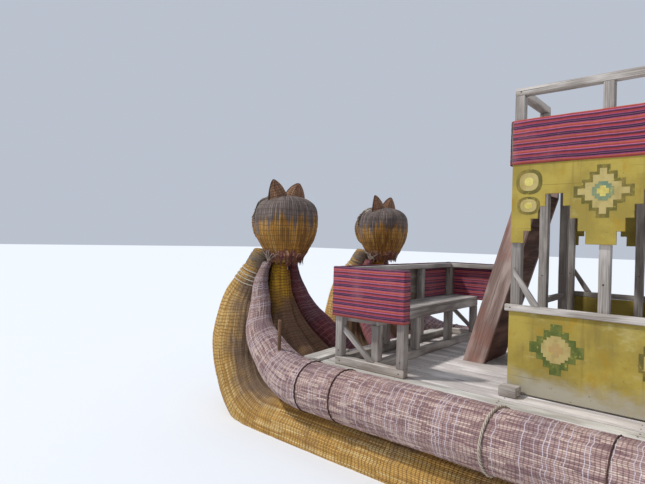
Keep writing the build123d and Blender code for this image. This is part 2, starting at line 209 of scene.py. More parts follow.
def split(vector):
    # A vector's three values.
    return list(outputs(newNode(vector.tree, "SeparateXYZ", {0: vector})).values())


def stretched(vector, sizes):
    # A vector times three sizes, one for each direction.
    return newNode(vector.tree, "Mapping", {"Vector": vector, "Scale": sizes})


def noise(vector, scale, detail=3.0, roughness=0.5):
    # Soft noise, of one scale or stretched by three.
    if isinstance(scale, tuple):
        vector, scale = stretched(vector, scale), 1.0
    return newNode(vector.tree, "TexNoise", {"Vector": vector, "Scale": scale, "Detail": detail,
                                             "Roughness": roughness}, "Fac")


def whiteNoise(x, y):
    # A random number for each pair of whole numbers.
    return newNode(treeOf(x, y), "TexWhiteNoise", {"Vector": vectorOf(x, y)}, "Value", noise_dimensions="2D")


def step(value, low, high):
    # 0 below low and 1 above high, smooth between.
    return newNode(treeOf(value, low, high), "MapRange", enumerate((value, low, high)),
                   interpolation_type="SMOOTHSTEP")


def pieceUv(tree):
    # The piece's map: u runs along the grain, reeds or cord, and v across.
    return newNode(tree, "UVMap", uv_map="along")


def pieceMark(tree, name):
    # A value that the piece carries at each of its points.
    return newNode(tree, "Attribute", output="Fac", attribute_name=name)


def placeOf(tree):
    # The place in the shared frame, since no piece is shifted or turned.
    return newNode(tree, "TexCoord", output="Object")


def makeGroup(name, inputs, pattern):
    # A node group with named inputs, given with their usual values. The pattern works out its
    # outputs from them, which are all values.
    group = bpy.data.node_groups.new(name, "ShaderNodeTree")
    for label, usual in inputs.items():
        kind = "NodeSocketVector" if isinstance(usual, tuple) else "NodeSocketFloat"
        group.interface.new_socket(label, in_out="INPUT", socket_type=kind).default_value = usual
    given = group.nodes.new("NodeGroupInput").outputs
    found = pattern(*(Wire(group, given[label]) for label in inputs))
    for label in found:
        group.interface.new_socket(label, in_out="OUTPUT", socket_type="NodeSocketFloat")
    out = group.nodes.new("NodeGroupOutput").inputs
    for label, value in found.items():
        put(value, out[label])
    return group


def useGroup(group, *values):
    # A node group's outputs by name, from its inputs in their order.
    return outputs(newNode(treeOf(*values), "Group", enumerate(values), node_tree=group))


def newMaterial(name):
    # A new material, and the tree of its shader.
    material = bpy.data.materials.new(name)
    material.use_nodes = True
    return material, material.node_tree


def dress(material, colour, roughness, height, distance, strength, others=()):
    # Sends a pattern into the material's Principled shader, its height through a Bump node.
    tree = material.node_tree
    bump = newNode(tree, "Bump", {"Height": height, "Distance": distance, "Strength": strength})
    values = {"Base Color": colour, "Roughness": roughness, "Specular IOR Level": 0.25, "Normal": bump,
              **dict(others)}
    for label, value in values.items():
        put(value, tree.nodes["Principled BSDF"].inputs[label])
    return material


# Shared effects

def timberGrain(uv):
    # Grain along u: fine streaks, wide soft patches, a few long dark checks, and knots.
    u, v, _ = split(uv)
    wander = noise(uv, (1.2, 4, 1), 2)
    cracks = noise(vectorOf(u * 1.3, v * 75.0 + wander), 1.0, 1)
    spots = newNode(uv.tree, "TexVoronoi", {"Vector": stretched(uv, (1.1, 4.5, 1)), "Scale": 1.0}, "Distance")
    return {"Streaks": noise(vectorOf(u * 2.2, v * 150.0 + wander * 5.0), 1.0, 5, 0.62),
            "Patches": noise(uv, (2.0, 9, 1)),
            "Checks": step(cracks, 0.70, 0.76),
            "Knots": 1.0 - step(spots, 0.04, 0.09)}


def reedPattern(uv, spacing, binding, length):
    # Reeds along u, one to each whole v: a rounded back for each, a tone for each length of reed,
    # and fine bindings that cross them at a given spacing.
    u, v, _ = split(uv)
    v = v + (noise(uv, (3.0, 0.25, 1), 2) - 0.5) * 1.6
    reed = maths("FLOOR", v)
    inside = (v - reed) * 2.0 - 1.0
    stretch = maths("FLOOR", u / length + whiteNoise(reed, 3.0))
    turns = (u + noise(uv, (4.0, 0.12, 1), 1) * 0.05) / spacing
    phase = maths("ABSOLUTE", maths("FRACT", turns) - 0.5)
    half = binding * 0.5
    return {"Back": 1.0 - inside * inside,
            "Tone": whiteNoise(reed, stretch),
            "Bound": 1.0 - step(phase, half * 0.6, half),
            "Mottle": noise(uv, (6.0, 0.5, 1), 4, 0.6),
            "Turn Tone": whiteNoise(maths("FLOOR", turns), 7.0)}


grainGroup = makeGroup("timberGrain", {"Grain UV": (0, 0, 0)}, timberGrain)
reedGroup = makeGroup("reedSkin", {"Reed UV": (0, 0, 0), "Spacing": 0.02, "Binding": 0.18,
                                   "Reed Length": 0.5}, reedPattern)


# Finishes

# Each timber: its common tone, a paler and a darker one, its checks, a stain and its share
timbers = {
    "deckWood": ((192, 184, 178), (216, 209, 203), (158, 149, 143), (86, 79, 75), (152, 138, 128), 0.3),
    "edgeWood": ((196, 190, 180), (226, 221, 212), (150, 143, 134), (92, 84, 78), (170, 156, 140), 0.3),
    "greyWood": ((164, 156, 149), (196, 189, 181), (122, 114, 107), (58, 53, 50), (118, 104, 94), 0.35),
    "paleWood": ((172, 163, 154), (204, 197, 188), (124, 115, 107), (74, 67, 61), (146, 127, 112), 0.35),
    "stairWood": ((150, 128, 118), (182, 162, 152), (110, 88, 80), (66, 50, 46), (142, 92, 78), 0.5),
    "treadWood": ((104, 72, 58), (132, 98, 84), (64, 42, 35), (40, 27, 24), (118, 62, 44), 0.5),
    "plyWood": ((132, 122, 112), (160, 150, 138), (96, 88, 80), (60, 54, 50), (146, 116, 78), 0.45),
    "stakeWood": ((122, 92, 70), (156, 124, 96), (82, 58, 44), (48, 34, 27), (98, 66, 48), 0.4),
}


def makeTimber(name):
    # Dark and common streaks, pale patches and stains, a tone for each board, knots and checks.
    common, pale, dark, checks, stain, share = timbers[name]
    material, tree = newMaterial(name)
    grain = useGroup(grainGroup, pieceUv(tree))
    colour = layered(blend(step(grain["Streaks"], 0.38, 0.68), dark, common),
                     (step(grain["Patches"], 0.42, 0.68) * 0.75, pale),
                     (step(noise(placeOf(tree), 2.3, 4, 0.6), 0.5, 0.72) * share, stain))
    colour = layered(shaded(colour, pieceMark(tree, "tone") * 0.35 + 0.98),
                     (grain["Knots"] * 0.6, checks), (grain["Checks"] * 0.85, checks))
    return dress(material, colour, grain["Streaks"] * 0.2 + 0.7, grain["Streaks"] * 0.5 - grain["Checks"],
                 0.0035, 0.8)


# Each reed skin: colours of a reed (three), of its weathered and shaded side (two), of the gaps, which are
# painted shade, and of the bindings; the bindings' spacing, width as a share of it and share of turns that
# show; a reed's length
reedSkins = {
    "goldenReed": (((200, 156, 84), (172, 128, 62), (218, 186, 126)), ((148, 124, 102), (118, 96, 78)),
                   (84, 60, 30), (126, 92, 48), 0.034, 0.30, 0.8, 0.4),
    "mauveReed": (((188, 158, 150), (140, 110, 110), (218, 192, 178)), ((168, 144, 146), (128, 104, 110)),
                  (98, 66, 62), (214, 198, 204), 0.026, 0.34, 0.42, 0.11),
    "darkReed": (((154, 82, 82), (120, 62, 68), (174, 108, 100)), ((136, 96, 104), (108, 74, 82)),
                 (58, 28, 30), (164, 126, 126), 0.033, 0.30, 0.6, 0.12),
    "headReed": (((166, 117, 48), (128, 88, 38), (182, 139, 74)), ((126, 112, 104), (88, 77, 74)),
                 (44, 31, 20), (92, 70, 52), 0.055, 0.12, 1.0, 0.16),
    "tuftReed": (((206, 192, 174), (172, 156, 140), (228, 216, 198)), ((158, 144, 132), (124, 110, 100)),
                 (96, 80, 68), (130, 112, 96), 0.5, 0.05, 1.0, 0.6),
    "fringeReed": (((168, 116, 84), (120, 72, 56), (196, 154, 118)), ((146, 92, 82), (88, 54, 48)),
                   (50, 28, 24), (72, 40, 32), 0.5, 0.05, 1.0, 0.6),
    "earReed": (((158, 114, 84), (120, 84, 62), (184, 144, 110)), ((70, 50, 40), (54, 38, 30)),
                (44, 30, 24), (70, 50, 38), 0.026, 0.22, 1.0, 0.2),
    "heartReed": (((196, 148, 40), (212, 168, 48), (172, 124, 44)), ((146, 116, 92), (118, 90, 74)),
                  (66, 44, 24), (112, 80, 40), 0.034, 0.34, 1.0, 0.6),
}


def makeReedSkin(name):
    # A tone for each reed, greyer where its mark of weather and painted shade and a soft noise add up, with
    # painted shade between the reeds. The bindings' turns cross them. Some turns show only as grooves,
    # darkened with painted shade.
    reeds, weathered, gap, binding, spacing, width, shown, length = reedSkins[name]
    material, tree = newMaterial(name)
    uv = pieceUv(tree)
    back, tone, bound, mottle, turnTone = useGroup(reedGroup, uv, spacing, width, length).values()
    # The mark greys the reeds for weathering, and also as painted shade on sides turned away from the sun.
    patch = (noise(placeOf(tree), 3.2, 4, 0.62) - 0.5) * 1.5 + pieceMark(tree, "weather")
    colour = layered(blend(step(tone, 0.0, 0.55), reeds[1], reeds[0]),
                     (step(tone, 0.6, 1.0), reeds[2]),
                     (step(patch, 0.25, 0.85), blend(tone, weathered[1], weathered[0])))
    turns = bound * (1.0 - step(turnTone, shown - 0.02, shown + 0.02))
    broken = step(noise(uv, (9, 0.3, 1)), 0.3, 0.5)
    # The gap colour is painted shade: it darkens the crevices between reeds and the grooves of turns that
    # don't show.
    colour = layered(shaded(colour, turnTone * (0.26 * shown) + (mottle * 0.5 + 0.62)),
                     ((1.0 - step(back, 0.05, 0.5)) * 0.75, gap),
                     ((bound - turns) * 0.5, gap),
                     (turns * (broken * 0.5 + 0.5) * 0.8, binding))
    return dress(material, colour, tone * 0.2 + 0.65, back * 0.7 + turns * 0.45, 0.006, 0.9)


# Each rope: its strands, the grooves between them, darkened with painted shade, and its stains; strands'
# pitch along it in metres
ropes = {
    "darkRope": ((74, 52, 46), (38, 26, 24), (104, 78, 68), 0.022),
    "paleRope": ((196, 182, 166), (118, 104, 92), (160, 140, 120), 0.030),
    "greyRope": ((152, 138, 122), (84, 72, 62), (118, 102, 88), 0.024),
    "whiteRope": ((216, 208, 192), (140, 128, 112), (188, 172, 150), 0.026),
}


def makeRope(name):
    # Three strands twisted: a wave along u and once round v, lower in the grooves and darker there with
    # painted shade.
    strand, groove, stain, pitch = ropes[name]
    material, tree = newMaterial(name)
    u, v, _ = split(pieceUv(tree))
    wave = maths("ABSOLUTE", maths("SINE", (u / pitch + v * 3.0) * math.pi))
    colour = layered(blend(step(wave, 0.1, 0.6), groove, strand),
                     (step(noise(placeOf(tree), 9.0, 4, 0.6), 0.45, 0.7), stain))
    return dress(material, colour, 0.9, wave, 0.004, 0.9)


# Stripes of the cloths: where each colour starts in one repeat
stripes = [(0.0, (176, 72, 66)), (0.13, (192, 104, 74)), (0.22, (176, 78, 122)), (0.30, (62, 34, 54)),
           (0.42, (140, 90, 116)), (0.46, (74, 46, 72)), (0.58, (182, 84, 126)), (0.64, (172, 68, 68)),
           (0.76, (110, 36, 52)), (0.84, (84, 56, 80)), (0.93, (194, 112, 148))]
weave = {"repeat": 0.084, "warp": 0.0045, "weft": 0.0056}


def makeStripedCloth():
    # A colour for each stripe and thin dark lines between. Yarns cross in two sets of fine waves.
    material, tree = newMaterial("stripedCloth")
    uv = pieceUv(tree)
    u, v, _ = split(uv)
    height = v + (noise(uv, (3.0, 6.0, 1), 2) - 0.5) * 0.012
    turns = height / weave["repeat"]
    colour = newNode(tree, "ValToRGB", {0: maths("FRACT", turns)})
    ramp = colour.socket.node.color_ramp
    ramp.interpolation = "CONSTANT"
    while len(ramp.elements) < len(stripes):
        ramp.elements.new(0.5)
    for element, (start, stripe) in zip(ramp.elements, stripes):
        element.position = start
        element.color = paint(stripe)
    colour = blend(step(maths("FRACT", turns * 14.0), 0.72, 0.98) * 0.45, colour, (70, 30, 40))
    shade = whiteNoise(maths("FLOOR", turns * 7.0), 4.0)
    colour = shaded(colour, shade * 0.26 + (noise(uv, (30, 12, 1), 4, 0.6) * 0.5 + 0.62))
    faded = step(noise(placeOf(tree), 2.6, 4, 0.6), 0.5, 0.75) * 0.35
    warp = maths("SINE", u * (2 * math.pi / weave["warp"]))
    weft = maths("SINE", height * (2 * math.pi / weave["weft"]))
    return dress(material, blend(faded, colour, (176, 116, 120)), 0.95, maths("MAXIMUM", warp, weft),
                 0.0012, 0.7, {"Sheen Weight": 0.15})


def makeYellowPaint():
    # Mustard paint on plywood: olive and rusty clouds, runs down it, a pale worn foot and old grain.
    material, tree = newMaterial("yellowPaint")
    place = placeOf(tree)
    grain = useGroup(grainGroup, pieceUv(tree))
    smudge = noise(place, (5.2, 5.2, 3.1), 5, 0.68)
    runs = noise(place, (22, 22, 1.6), 3, 0.6)
    pale = noise(place, (3.4, 3.4, 6.0), 5, 0.65)
    above = split(place)[2] - deckTop + (pale - 0.5) * 0.5
    chips = step(noise(place, 38.0, 3, 0.7), 0.66, 0.72)
    colour = layered(blend(step(noise(place, 2.2, 5, 0.62), 0.40, 0.62), (156, 136, 62), (182, 160, 74)),
                     (step(smudge, 0.54, 0.70) * 0.65, (174, 134, 30)),
                     (step(runs, 0.56, 0.74) * 0.45, (132, 112, 58)),
                     (step(pale, 0.56, 0.70) * 0.55, (196, 182, 122)),
                     ((1.0 - step(above, 0.03, 0.24)) * 0.8, (184, 178, 164)),
                     (chips * 0.7, (120, 104, 70)),
                     (grain["Checks"] * 0.5, (90, 78, 36)))
    return dress(material, colour, smudge * 0.4 + 0.45, grain["Streaks"] * 0.3 - chips, 0.0012, 0.7)


def makeNailIron():
    # Rusty iron: brown with darker pits and orange edges of rust, greyer on some heads.
    material, tree = newMaterial("nailIron")
    place = placeOf(tree)
    colour = layered(blend(step(noise(place, 160.0, 3, 0.6), 0.4, 0.65), (58, 44, 38), (112, 72, 48)),
                     (step(noise(place, 3.0, 2), 0.4, 0.6) * 0.4, (70, 64, 62)))
    return dress(material, colour, 0.7, noise(place, 400.0, 2), 0.0004, 0.6, {"Metallic": 0.35})


# Each motif paint: its two tones
motifColours = {
    "oliveMotif": ((104, 96, 46), (142, 124, 60)),
    "beigeMotif": ((192, 172, 112), (172, 152, 92)),
    "tealMotif": ((112, 134, 108), (140, 148, 108)),
    "paleMotif": ((220, 206, 120), (190, 170, 80)),
    "greenMotif": ((88, 100, 46), (124, 126, 62)),
    "orangeMotif": ((190, 150, 96), (176, 158, 104)),
}


def makeMotifPaint(name):
    # A flat paint, brushed on thinly: patches of a second tone and small bare specks.
    material, tree = newMaterial(name)
    place = placeOf(tree)
    brushed = noise(place, (14, 14, 9), 5, 0.65)
    colour = layered(blend(step(brushed, 0.38, 0.66), *motifColours[name]),
                     (step(noise(place, 30.0, 3, 0.7), 0.60, 0.68) * 0.6, (196, 178, 78)))
    return dress(material, colour, 0.75, brushed, 0.0006, 0.6)


finishes = {name: make(name) for table, make in ((timbers, makeTimber), (reedSkins, makeReedSkin),
                                                 (ropes, makeRope), (motifColours, makeMotifPaint))
            for name in table}
finishes.update(stripedCloth=makeStripedCloth(), yellowPaint=makeYellowPaint(), nailIron=makeNailIron())
print("finishes ready:", len(finishes))


# Meshes from arrays

def gridPart(points, uv, wrap=True, caps=True, flip=False, **marks):
    # One surface over a grid of rows (along) and columns (around), with a corner-by-corner map.
    # uv has one column more than points where the columns close on themselves.
    rows, cols = points.shape[:2]
    i, j = np.meshgrid(np.arange(rows - 1), np.arange(cols if wrap else cols - 1), indexing="ij")
    i, j = i.ravel(), j.ravel()
    across = (j + 1) % cols
    faces = np.stack([i * cols + j, i * cols + across, (i + 1) * cols + across, (i + 1) * cols + j], 1)
    where = np.stack([uv[i, j], uv[i, j + 1], uv[i + 1, j + 1], uv[i + 1, j]], 1)
    verts = points.reshape(-1, 3)
    loops, totals, maps = [faces.ravel()], [np.full(len(faces), 4)], [where.reshape(-1, 2)]
    marks = {k: np.broadcast_to(v, points.shape[:2]).ravel() for k, v in marks.items()}
    if caps and wrap:
        k = np.arange(cols)
        for row, order in ((0, -1), (rows - 1, 1)):
            ring = row * cols + k
            middle = len(verts)
            verts = np.vstack([verts, points[row].mean(0)[None]])
            marks = {n: np.append(v, v[row * cols]) for n, v in marks.items()}
            fan = np.stack([np.full(cols, middle), ring, np.roll(ring, -1)], 1)
            flat = np.stack([uv[row, :-1].mean(0)[None].repeat(cols, 0), uv[row, k], uv[row, k + 1]], 1)
            if order < 0:
                fan, flat = fan[:, ::-1], flat[:, ::-1]
            loops.append(fan.ravel())
            totals.append(np.full(cols, 3))
            maps.append(flat.reshape(-1, 2))
    part = {"verts": verts, "loops": np.concatenate(loops), "totals": np.concatenate(totals),
            "uv": np.concatenate(maps), "marks": marks}
    return turned(part) if flip else part


def turned(part):
    # The same part with every face's corners in the other order.
    ends = np.cumsum(part["totals"])
    starts = ends - part["totals"]
    order = np.repeat(starts + ends - 1, part["totals"]) - np.arange(len(part["loops"]))
    return {**part, "loops": part["loops"][order], "uv": part["uv"][order]}


def mirroredPart(part):
    # The same part on the other side of the boat.
    return turned({**part, "verts": part["verts"] * [1, -1, 1]})


def addPiece(name, mesh, finish, node=None):
    # A mesh as an object in its finish. It rides on the hull, and may stand for a CAD node.
    piece = bpy.data.objects.new(name, mesh)
    bpy.context.scene.collection.objects.link(piece)
    mesh.materials.append(finishes[finish])
    if node:
        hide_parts(node)
    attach(piece, "root")
    return piece


def makePiece(name, parts, finish, node=None, sharp=None):
    # Joins parts into one mesh; faces that meet at more than sharp degrees keep a hard edge.
    offsets = np.cumsum([0] + [len(p["verts"]) for p in parts])
    verts = np.concatenate([p["verts"] for p in parts]).astype(np.float32)
    loops = np.concatenate([p["loops"] + o for p, o in zip(parts, offsets)]).astype(np.int32)
    totals = np.concatenate([p["totals"] for p in parts]).astype(np.int32)
    mesh = bpy.data.meshes.new(name)
    mesh.vertices.add(len(verts))
    mesh.vertices.foreach_set("co", verts.ravel())
    mesh.loops.add(len(loops))
    mesh.loops.foreach_set("vertex_index", loops)
    mesh.polygons.add(len(totals))
    mesh.polygons.foreach_set("loop_start", np.cumsum(totals).astype(np.int32) - totals)
    mesh.polygons.foreach_set("loop_total", totals)
    mesh.polygons.foreach_set("use_smooth", np.ones(len(totals), dtype=bool))
    layer = mesh.uv_layers.new(name="along")
    layer.data.foreach_set("uv", np.concatenate([p["uv"] for p in parts]).astype(np.float32).ravel())
    for mark in parts[0]["marks"]:
        values = np.concatenate([p["marks"][mark] for p in parts]).astype(np.float32)
        mesh.attributes.new(mark, "FLOAT", "POINT").data.foreach_set("value", values)
    mesh.update()
    mesh.validate()
    if sharp:
        mesh.set_sharp_from_angle(angle=math.radians(sharp))
    return addPiece(name, mesh, finish, node)


def nameOf(node):
    # A piece is named as its CAD node, in camel case.
    first, *others = node.split("_")
    return first + "".join(word.title() for word in others)


def mapOf(u, v):
    # A map from values along and across that broadcast to the grid.
    return np.stack(np.broadcast_arrays(u, v), 2)


def reachOf(points):
    # The distance along a line at each of its points.
    return np.append(0, np.cumsum(np.linalg.norm(np.diff(points, axis=0), axis=1)))


def circle(count):
    # Angles spread evenly over a full turn.
    return np.arange(count) * 2 * math.pi / count


def cubic(values, slopes, reach, count):
    # Cubic curves from row to row. A tangent is the row's slope times the length of the stretch.
    s = np.linspace(0, reach[-1], count)
    k = np.clip(np.searchsorted(reach, s, side="right") - 1, 0, len(reach) - 2)
    c = np.diff(reach)[k][:, None]
    f = (s - reach[k])[:, None] / c
    return s, ((2 * f**3 - 3 * f**2 + 1) * values[k] + (f**3 - 2 * f**2 + f) * c * slopes[k]
               + (3 * f**2 - 2 * f**3) * values[k + 1] + (f**3 - f**2) * c * slopes[k + 1])


def smoothLine(points, count):
    # A curve through the points, whose slopes come from their neighbours.
    points = np.asarray(points, float)
    reach = reachOf(points)
    return cubic(points, np.gradient(points, reach, axis=0), reach, count)[1]


# Timber: boards and posts with worn edges, one for each solid of a CAD node

boards = {"edge": 0.006, "wear": 0.0022, "spacing": 0.16, "waves": (7.3, 19.1, 43.0)}


def solidsOf(node):
    # The corners of each solid in a node. Triangles belong together where just two share an edge.
    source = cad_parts[node]
    mesh = source.data
    co = np.empty(len(mesh.vertices) * 3, np.float32)
    mesh.vertices.foreach_get("co", co)
    world = source.matrix_world
    co = co.reshape(-1, 3) @ np.array(world.to_3x3()).T + np.array(world.translation)
    mesh.calc_loop_triangles()
    tris = np.empty(len(mesh.loop_triangles) * 3, np.int32)
    mesh.loop_triangles.foreach_get("vertices", tris)
    _, same = np.unique(np.round(co, 5), axis=0, return_inverse=True)
    tris = tris.reshape(-1, 3)
    merged = same.reshape(-1)[tris]
    edges = np.sort(np.stack([merged, np.roll(merged, -1, 1)], 2).reshape(-1, 2), 1)
    _, edge, count = np.unique(edges, axis=0, return_inverse=True, return_counts=True)
    edge = edge.reshape(-1)
    owner = np.repeat(np.arange(len(tris)), 3)
    labels = np.arange(len(tris))
    fine = count[edge] == 2
    while True:
        low = np.full(len(count), len(tris))
        np.minimum.at(low, edge[fine], labels[owner[fine]])
        new = labels.copy()
        np.minimum.at(new, owner[fine], low[edge[fine]])
        if (new == labels).all():
            break
        labels = new
    return [co[tris[labels == label]].reshape(-1, 3) for label in np.unique(labels)]


def board(low, high):
    # A rounded rectangle carried along the board's longest side, its corners worn in by a slow
    # wave along each of them.
    low, high = np.asarray(low, float), np.asarray(high, float)
    size = high - low
    a = int(np.argmax(size))
    b, c = (a + 1) % 3, (a + 2) % 3
    edge = min(boards["edge"], 0.24 * min(size[b], size[c]))
    turns = np.radians([0, 30, 60, 90])
    half = np.array([size[b], size[c]]) / 2
    outline = []
    for k, (sb, sc) in enumerate(((1, 1), (-1, 1), (-1, -1), (1, -1))):
        angles = turns + k * math.pi / 2
        outline.append(np.stack([sb * (half[0] - edge) + edge * np.cos(angles),
                                 sc * (half[1] - edge) + edge * np.sin(angles)], 1))
    outline = np.concatenate(outline)
    corner = np.repeat(np.arange(4), len(turns))
    steps = max(3, int(size[a] / boards["spacing"]))
    s = np.concatenate([[0, edge * 0.4, edge], np.linspace(edge, size[a] - edge, steps)[1:-1],
                        [size[a] - edge, size[a] - edge * 0.4, size[a]]])
    inset = np.concatenate([[edge * 0.7, edge * 0.15, 0], np.zeros(steps - 2), [0, edge * 0.15, edge * 0.7]])
    phase = rng.uniform(0, 6.28, (4, 3))
    wave = sum(np.sin(s[:, None] * f + phase[corner, n]) for n, f in enumerate(boards["waves"])) / 3
    pull = inset[:, None] + boards["wear"] * (0.5 + 0.5 * wave)
    shape = outline[None] - np.sign(outline)[None] * np.minimum(pull, 0.4 * half.min())[..., None]
    points = np.empty((len(s), len(outline), 3))
    points[..., a] = low[a] + s[:, None]
    points[..., [b, c]] = (low + high)[[b, c]] / 2 + shape
    around = reachOf(np.concatenate([outline, outline[:1]]))
    uv = mapOf(s[:, None] + rng.uniform(0, 60), around + rng.uniform(0, 60))
    return gridPart(points, uv, tone=rng.uniform(0, 1))


# Columns: finish, CAD nodes
boxTimbers = [
    ("deckWood", "deck_boards"),
    ("edgeWood", "edge_planks"),
    ("greyWood", "crossbeams bearers bench_posts"),
    ("paleWood", "bench_base_beams"),
    ("greyWood", "bench_rails bench_seat_boards bench_seat_frame"),
    ("plyWood", "bench_back_panels"),
    ("greyWood", "cabin_posts gate_rails"),
    ("paleWood", "waist_rails"),
    ("greyWood", "side_seats side_seat_legs upper_joists"),
    ("deckWood", "upper_floor"),
    ("plyWood", "parapet_sides parapet_ends"),
    ("greyWood", "rail_posts"),
    ("paleWood", "guard_rails"),
    ("treadWood", "stair_treads"),
    ("greyWood", "wood_block"),
]
ownNames = {"crossbeams": "crossbeamTimbers", "bearers": "bearerTimbers"}
for finish, nodes in boxTimbers:
    for node in nodes.split():
        parts = [board(solid.min(0), solid.max(0)) for solid in solidsOf(node)]
        makePiece(ownNames.get(node, nameOf(node)), parts, finish, node, sharp=50)
print("timber ready")


# Nail heads and bolts

nails = {"spacing": 0.9, "jitter": 0.008, "lift": 0.0016, "sides": 10}
# Columns: node, axis that the heads face, inset from the ends, rows across the board, radius
nailTable = [
    ("deck_boards", 2, 0.045, (0.25, 0.75), 0.0050),
    ("edge_planks", 2, 0.060, (0.3, 0.7), 0.0060),
    ("bench_rails", 2, 0.040, (0.5,), 0.0055),
    ("bench_base_beams", 1, 0.050, (0.5,), 0.0070),
    ("bench_posts", 1, 0.060, (0.5,), 0.0065),
    ("waist_rails", 1, 0.050, (0.5,), 0.0055),
    ("guard_rails", 1, 0.040, (0.5,), 0.0060),
    ("cabin_posts", 1, 0.070, (0.5,), 0.0060),
]


def nailPart(place, axis, radius):
    # A low dome of three rings, standing out along one axis.
    theta = circle(nails["sides"])
    b, c = (axis + 1) % 3, (axis + 2) % 3
    points = np.empty((3, nails["sides"], 3))
    for row, (share, lift) in enumerate(((1.0, -0.004), (0.95, 0.0006), (0.55, nails["lift"]))):
        points[row, :, axis] = place[axis] + lift
        points[row, :, b] = place[b] + radius * share * np.cos(theta)
        points[row, :, c] = place[c] + radius * share * np.sin(theta)
    return gridPart(points, mapOf(np.arange(3)[:, None] * 0.004, np.arange(nails["sides"] + 1) * 0.003))


def makeNails():
    # Heads near each end of every board, jittered, and others along the long ones.
    found = []
    for node, axis, inset, rows, radius in nailTable:
        for solid in solidsOf(node):
            low, high = solid.min(0), solid.max(0)
            size = high - low
            size[axis] = 0
            along = int(np.argmax(size))
            over = 3 - axis - along
            count = max(2, 1 + int(round((size[along] - 2 * inset) / nails["spacing"])))
            for at in np.linspace(low[along] + inset, high[along] - inset, count):
                for share in rows:
                    place = np.empty(3)
                    place[along] = at + rng.uniform(-nails["jitter"], nails["jitter"])
                    aside = rng.uniform(-0.1, 0.1) * min(size[over], 0.05)
                    place[over] = low[over] + share * size[over] + aside
                    place[axis] = high[axis]
                    found.append(nailPart(place, axis, radius * rng.uniform(0.85, 1.15)))
    makePiece("nailHeads", found, "nailIron")
    print("nail heads:", len(found))


makeNails()


# Reed bundles

sternStart = -5900
# Columns: station (at the stern, the distance aft of sternStart), height, direction in degrees above
# level, radius, offset from the hull's centreline, in millimetres
bundleRows = {
    "mainBow": [(650, 320, 0, 320, 310), (1060, 440, 33, 316, 306), (1340, 780, 64, 322, 270),
                (1412, 1180, 90, 340, 220), (1399, 1580, 112, 240, 180), (1310, 1835, 112, 155, 146),
                (1285, 1925, 98, 130, 125), (1250, 2040, 100, 108, 104)],
    "mainStern": [(0, 320, 0, 320, 310), (700, 390, 18, 270, 258), (1250, 640, 32, 200, 188),
                  (1650, 950, 42, 120, 110)],
    "outerBow": [(150, 836.5, 0, 230, 500), (460, 900, 22, 216, 496), (650, 1003, 36, 198, 475),
                 (930, 1240, 54, 152, 420), (1050, 1530, 72, 105, 310), (1100, 1728, 85, 76, 265),
                 (1088, 1925, 90, 45, 195)],
    "outerStern": [(0, 836.5, 0, 230, 500), (700, 850, 10, 165, 430), (1250, 990, 20, 110, 290),
                   (1600, 1190, 28, 70, 150)],
    "innerBow": [(60, 694.1, 0, 170, 626.9), (430, 800, 30, 168, 635), (680, 985, 40, 156, 575),
                 (930, 1250, 50, 142, 450), (1050, 1530, 74, 105, 315), (1100, 1728, 85, 78, 265),
                 (1088, 1925, 90, 55, 200)],
    "innerStern": [(0, 694.1, 0, 170, 626.9), (700, 770, 12, 150, 500), (1250, 985, 22, 105, 300),
                   (1600, 1190, 30, 70, 150)],
    "heartBow": [(300, 673.7, 0, 150, 0), (560, 730, 24, 190, 0), (790, 880, 42, 232, 0),
                 (955, 1130, 58, 160, 0), (1045, 1400, 74, 118, 0), (1090, 1640, 90, 114, 0),
                 (1090, 1830, 95, 96, 0), (1075, 1925, 90, 84, 0)],
    "packingBow": [(400, 715, 8, 110, 335), (560, 775, 24, 128, 345), (790, 935, 42, 138, 305),
                   (955, 1165, 58, 112, 220), (1045, 1410, 74, 76, 158), (1082, 1600, 86, 52, 130),
                   (1088, 1830, 92, 34, 118)],
    "packingStern": [(-6100, 700, 0, 70, 330)],
    "heartStern": [(0, 673.7, 0, 150, 0), (700, 725, 12, 125, 0), (1250, 900, 25, 80, 0),
                   (1600, 1100, 33, 45, 0)],
}


def bundlePath(bow, stern, spacing):
    # Radius and offset ease along the same cubic curves as the path, and stay as they are over the
    # straight run.
    bow, stern = bundleRows[bow], bundleRows[stern]
    knots = np.array([(sternStart - s, h, -d, r, o) for s, h, d, r, o in stern[::-1]] + bow, float)
    knots[:, [0, 1, 3, 4]] /= 1000
    turn = np.radians(knots[:, 2])
    reach = reachOf(knots[:, :2])
    slope = np.gradient(knots[:, 3:], reach, axis=0)
    slope[len(stern) - 1:len(stern) + 1] = 0
    values = np.delete(knots, 2, 1)
    slopes = np.concatenate([np.stack([np.cos(turn), np.sin(turn)], 1), slope], 1)
    s, found = cubic(values, slopes, reach, int(reach[-1] / spacing) + 1)
    run = np.gradient(found[:, :2], axis=0)
    return {"s": s, "t": found[:, 0], "z": found[:, 1], "r": found[:, 2], "o": found[:, 3],
            "turn": np.arctan2(run[:, 1], run[:, 0])}


reedRoughness = {"waves": 0.006, "pinch": 0.004, "pinchSpacing": 0.235}


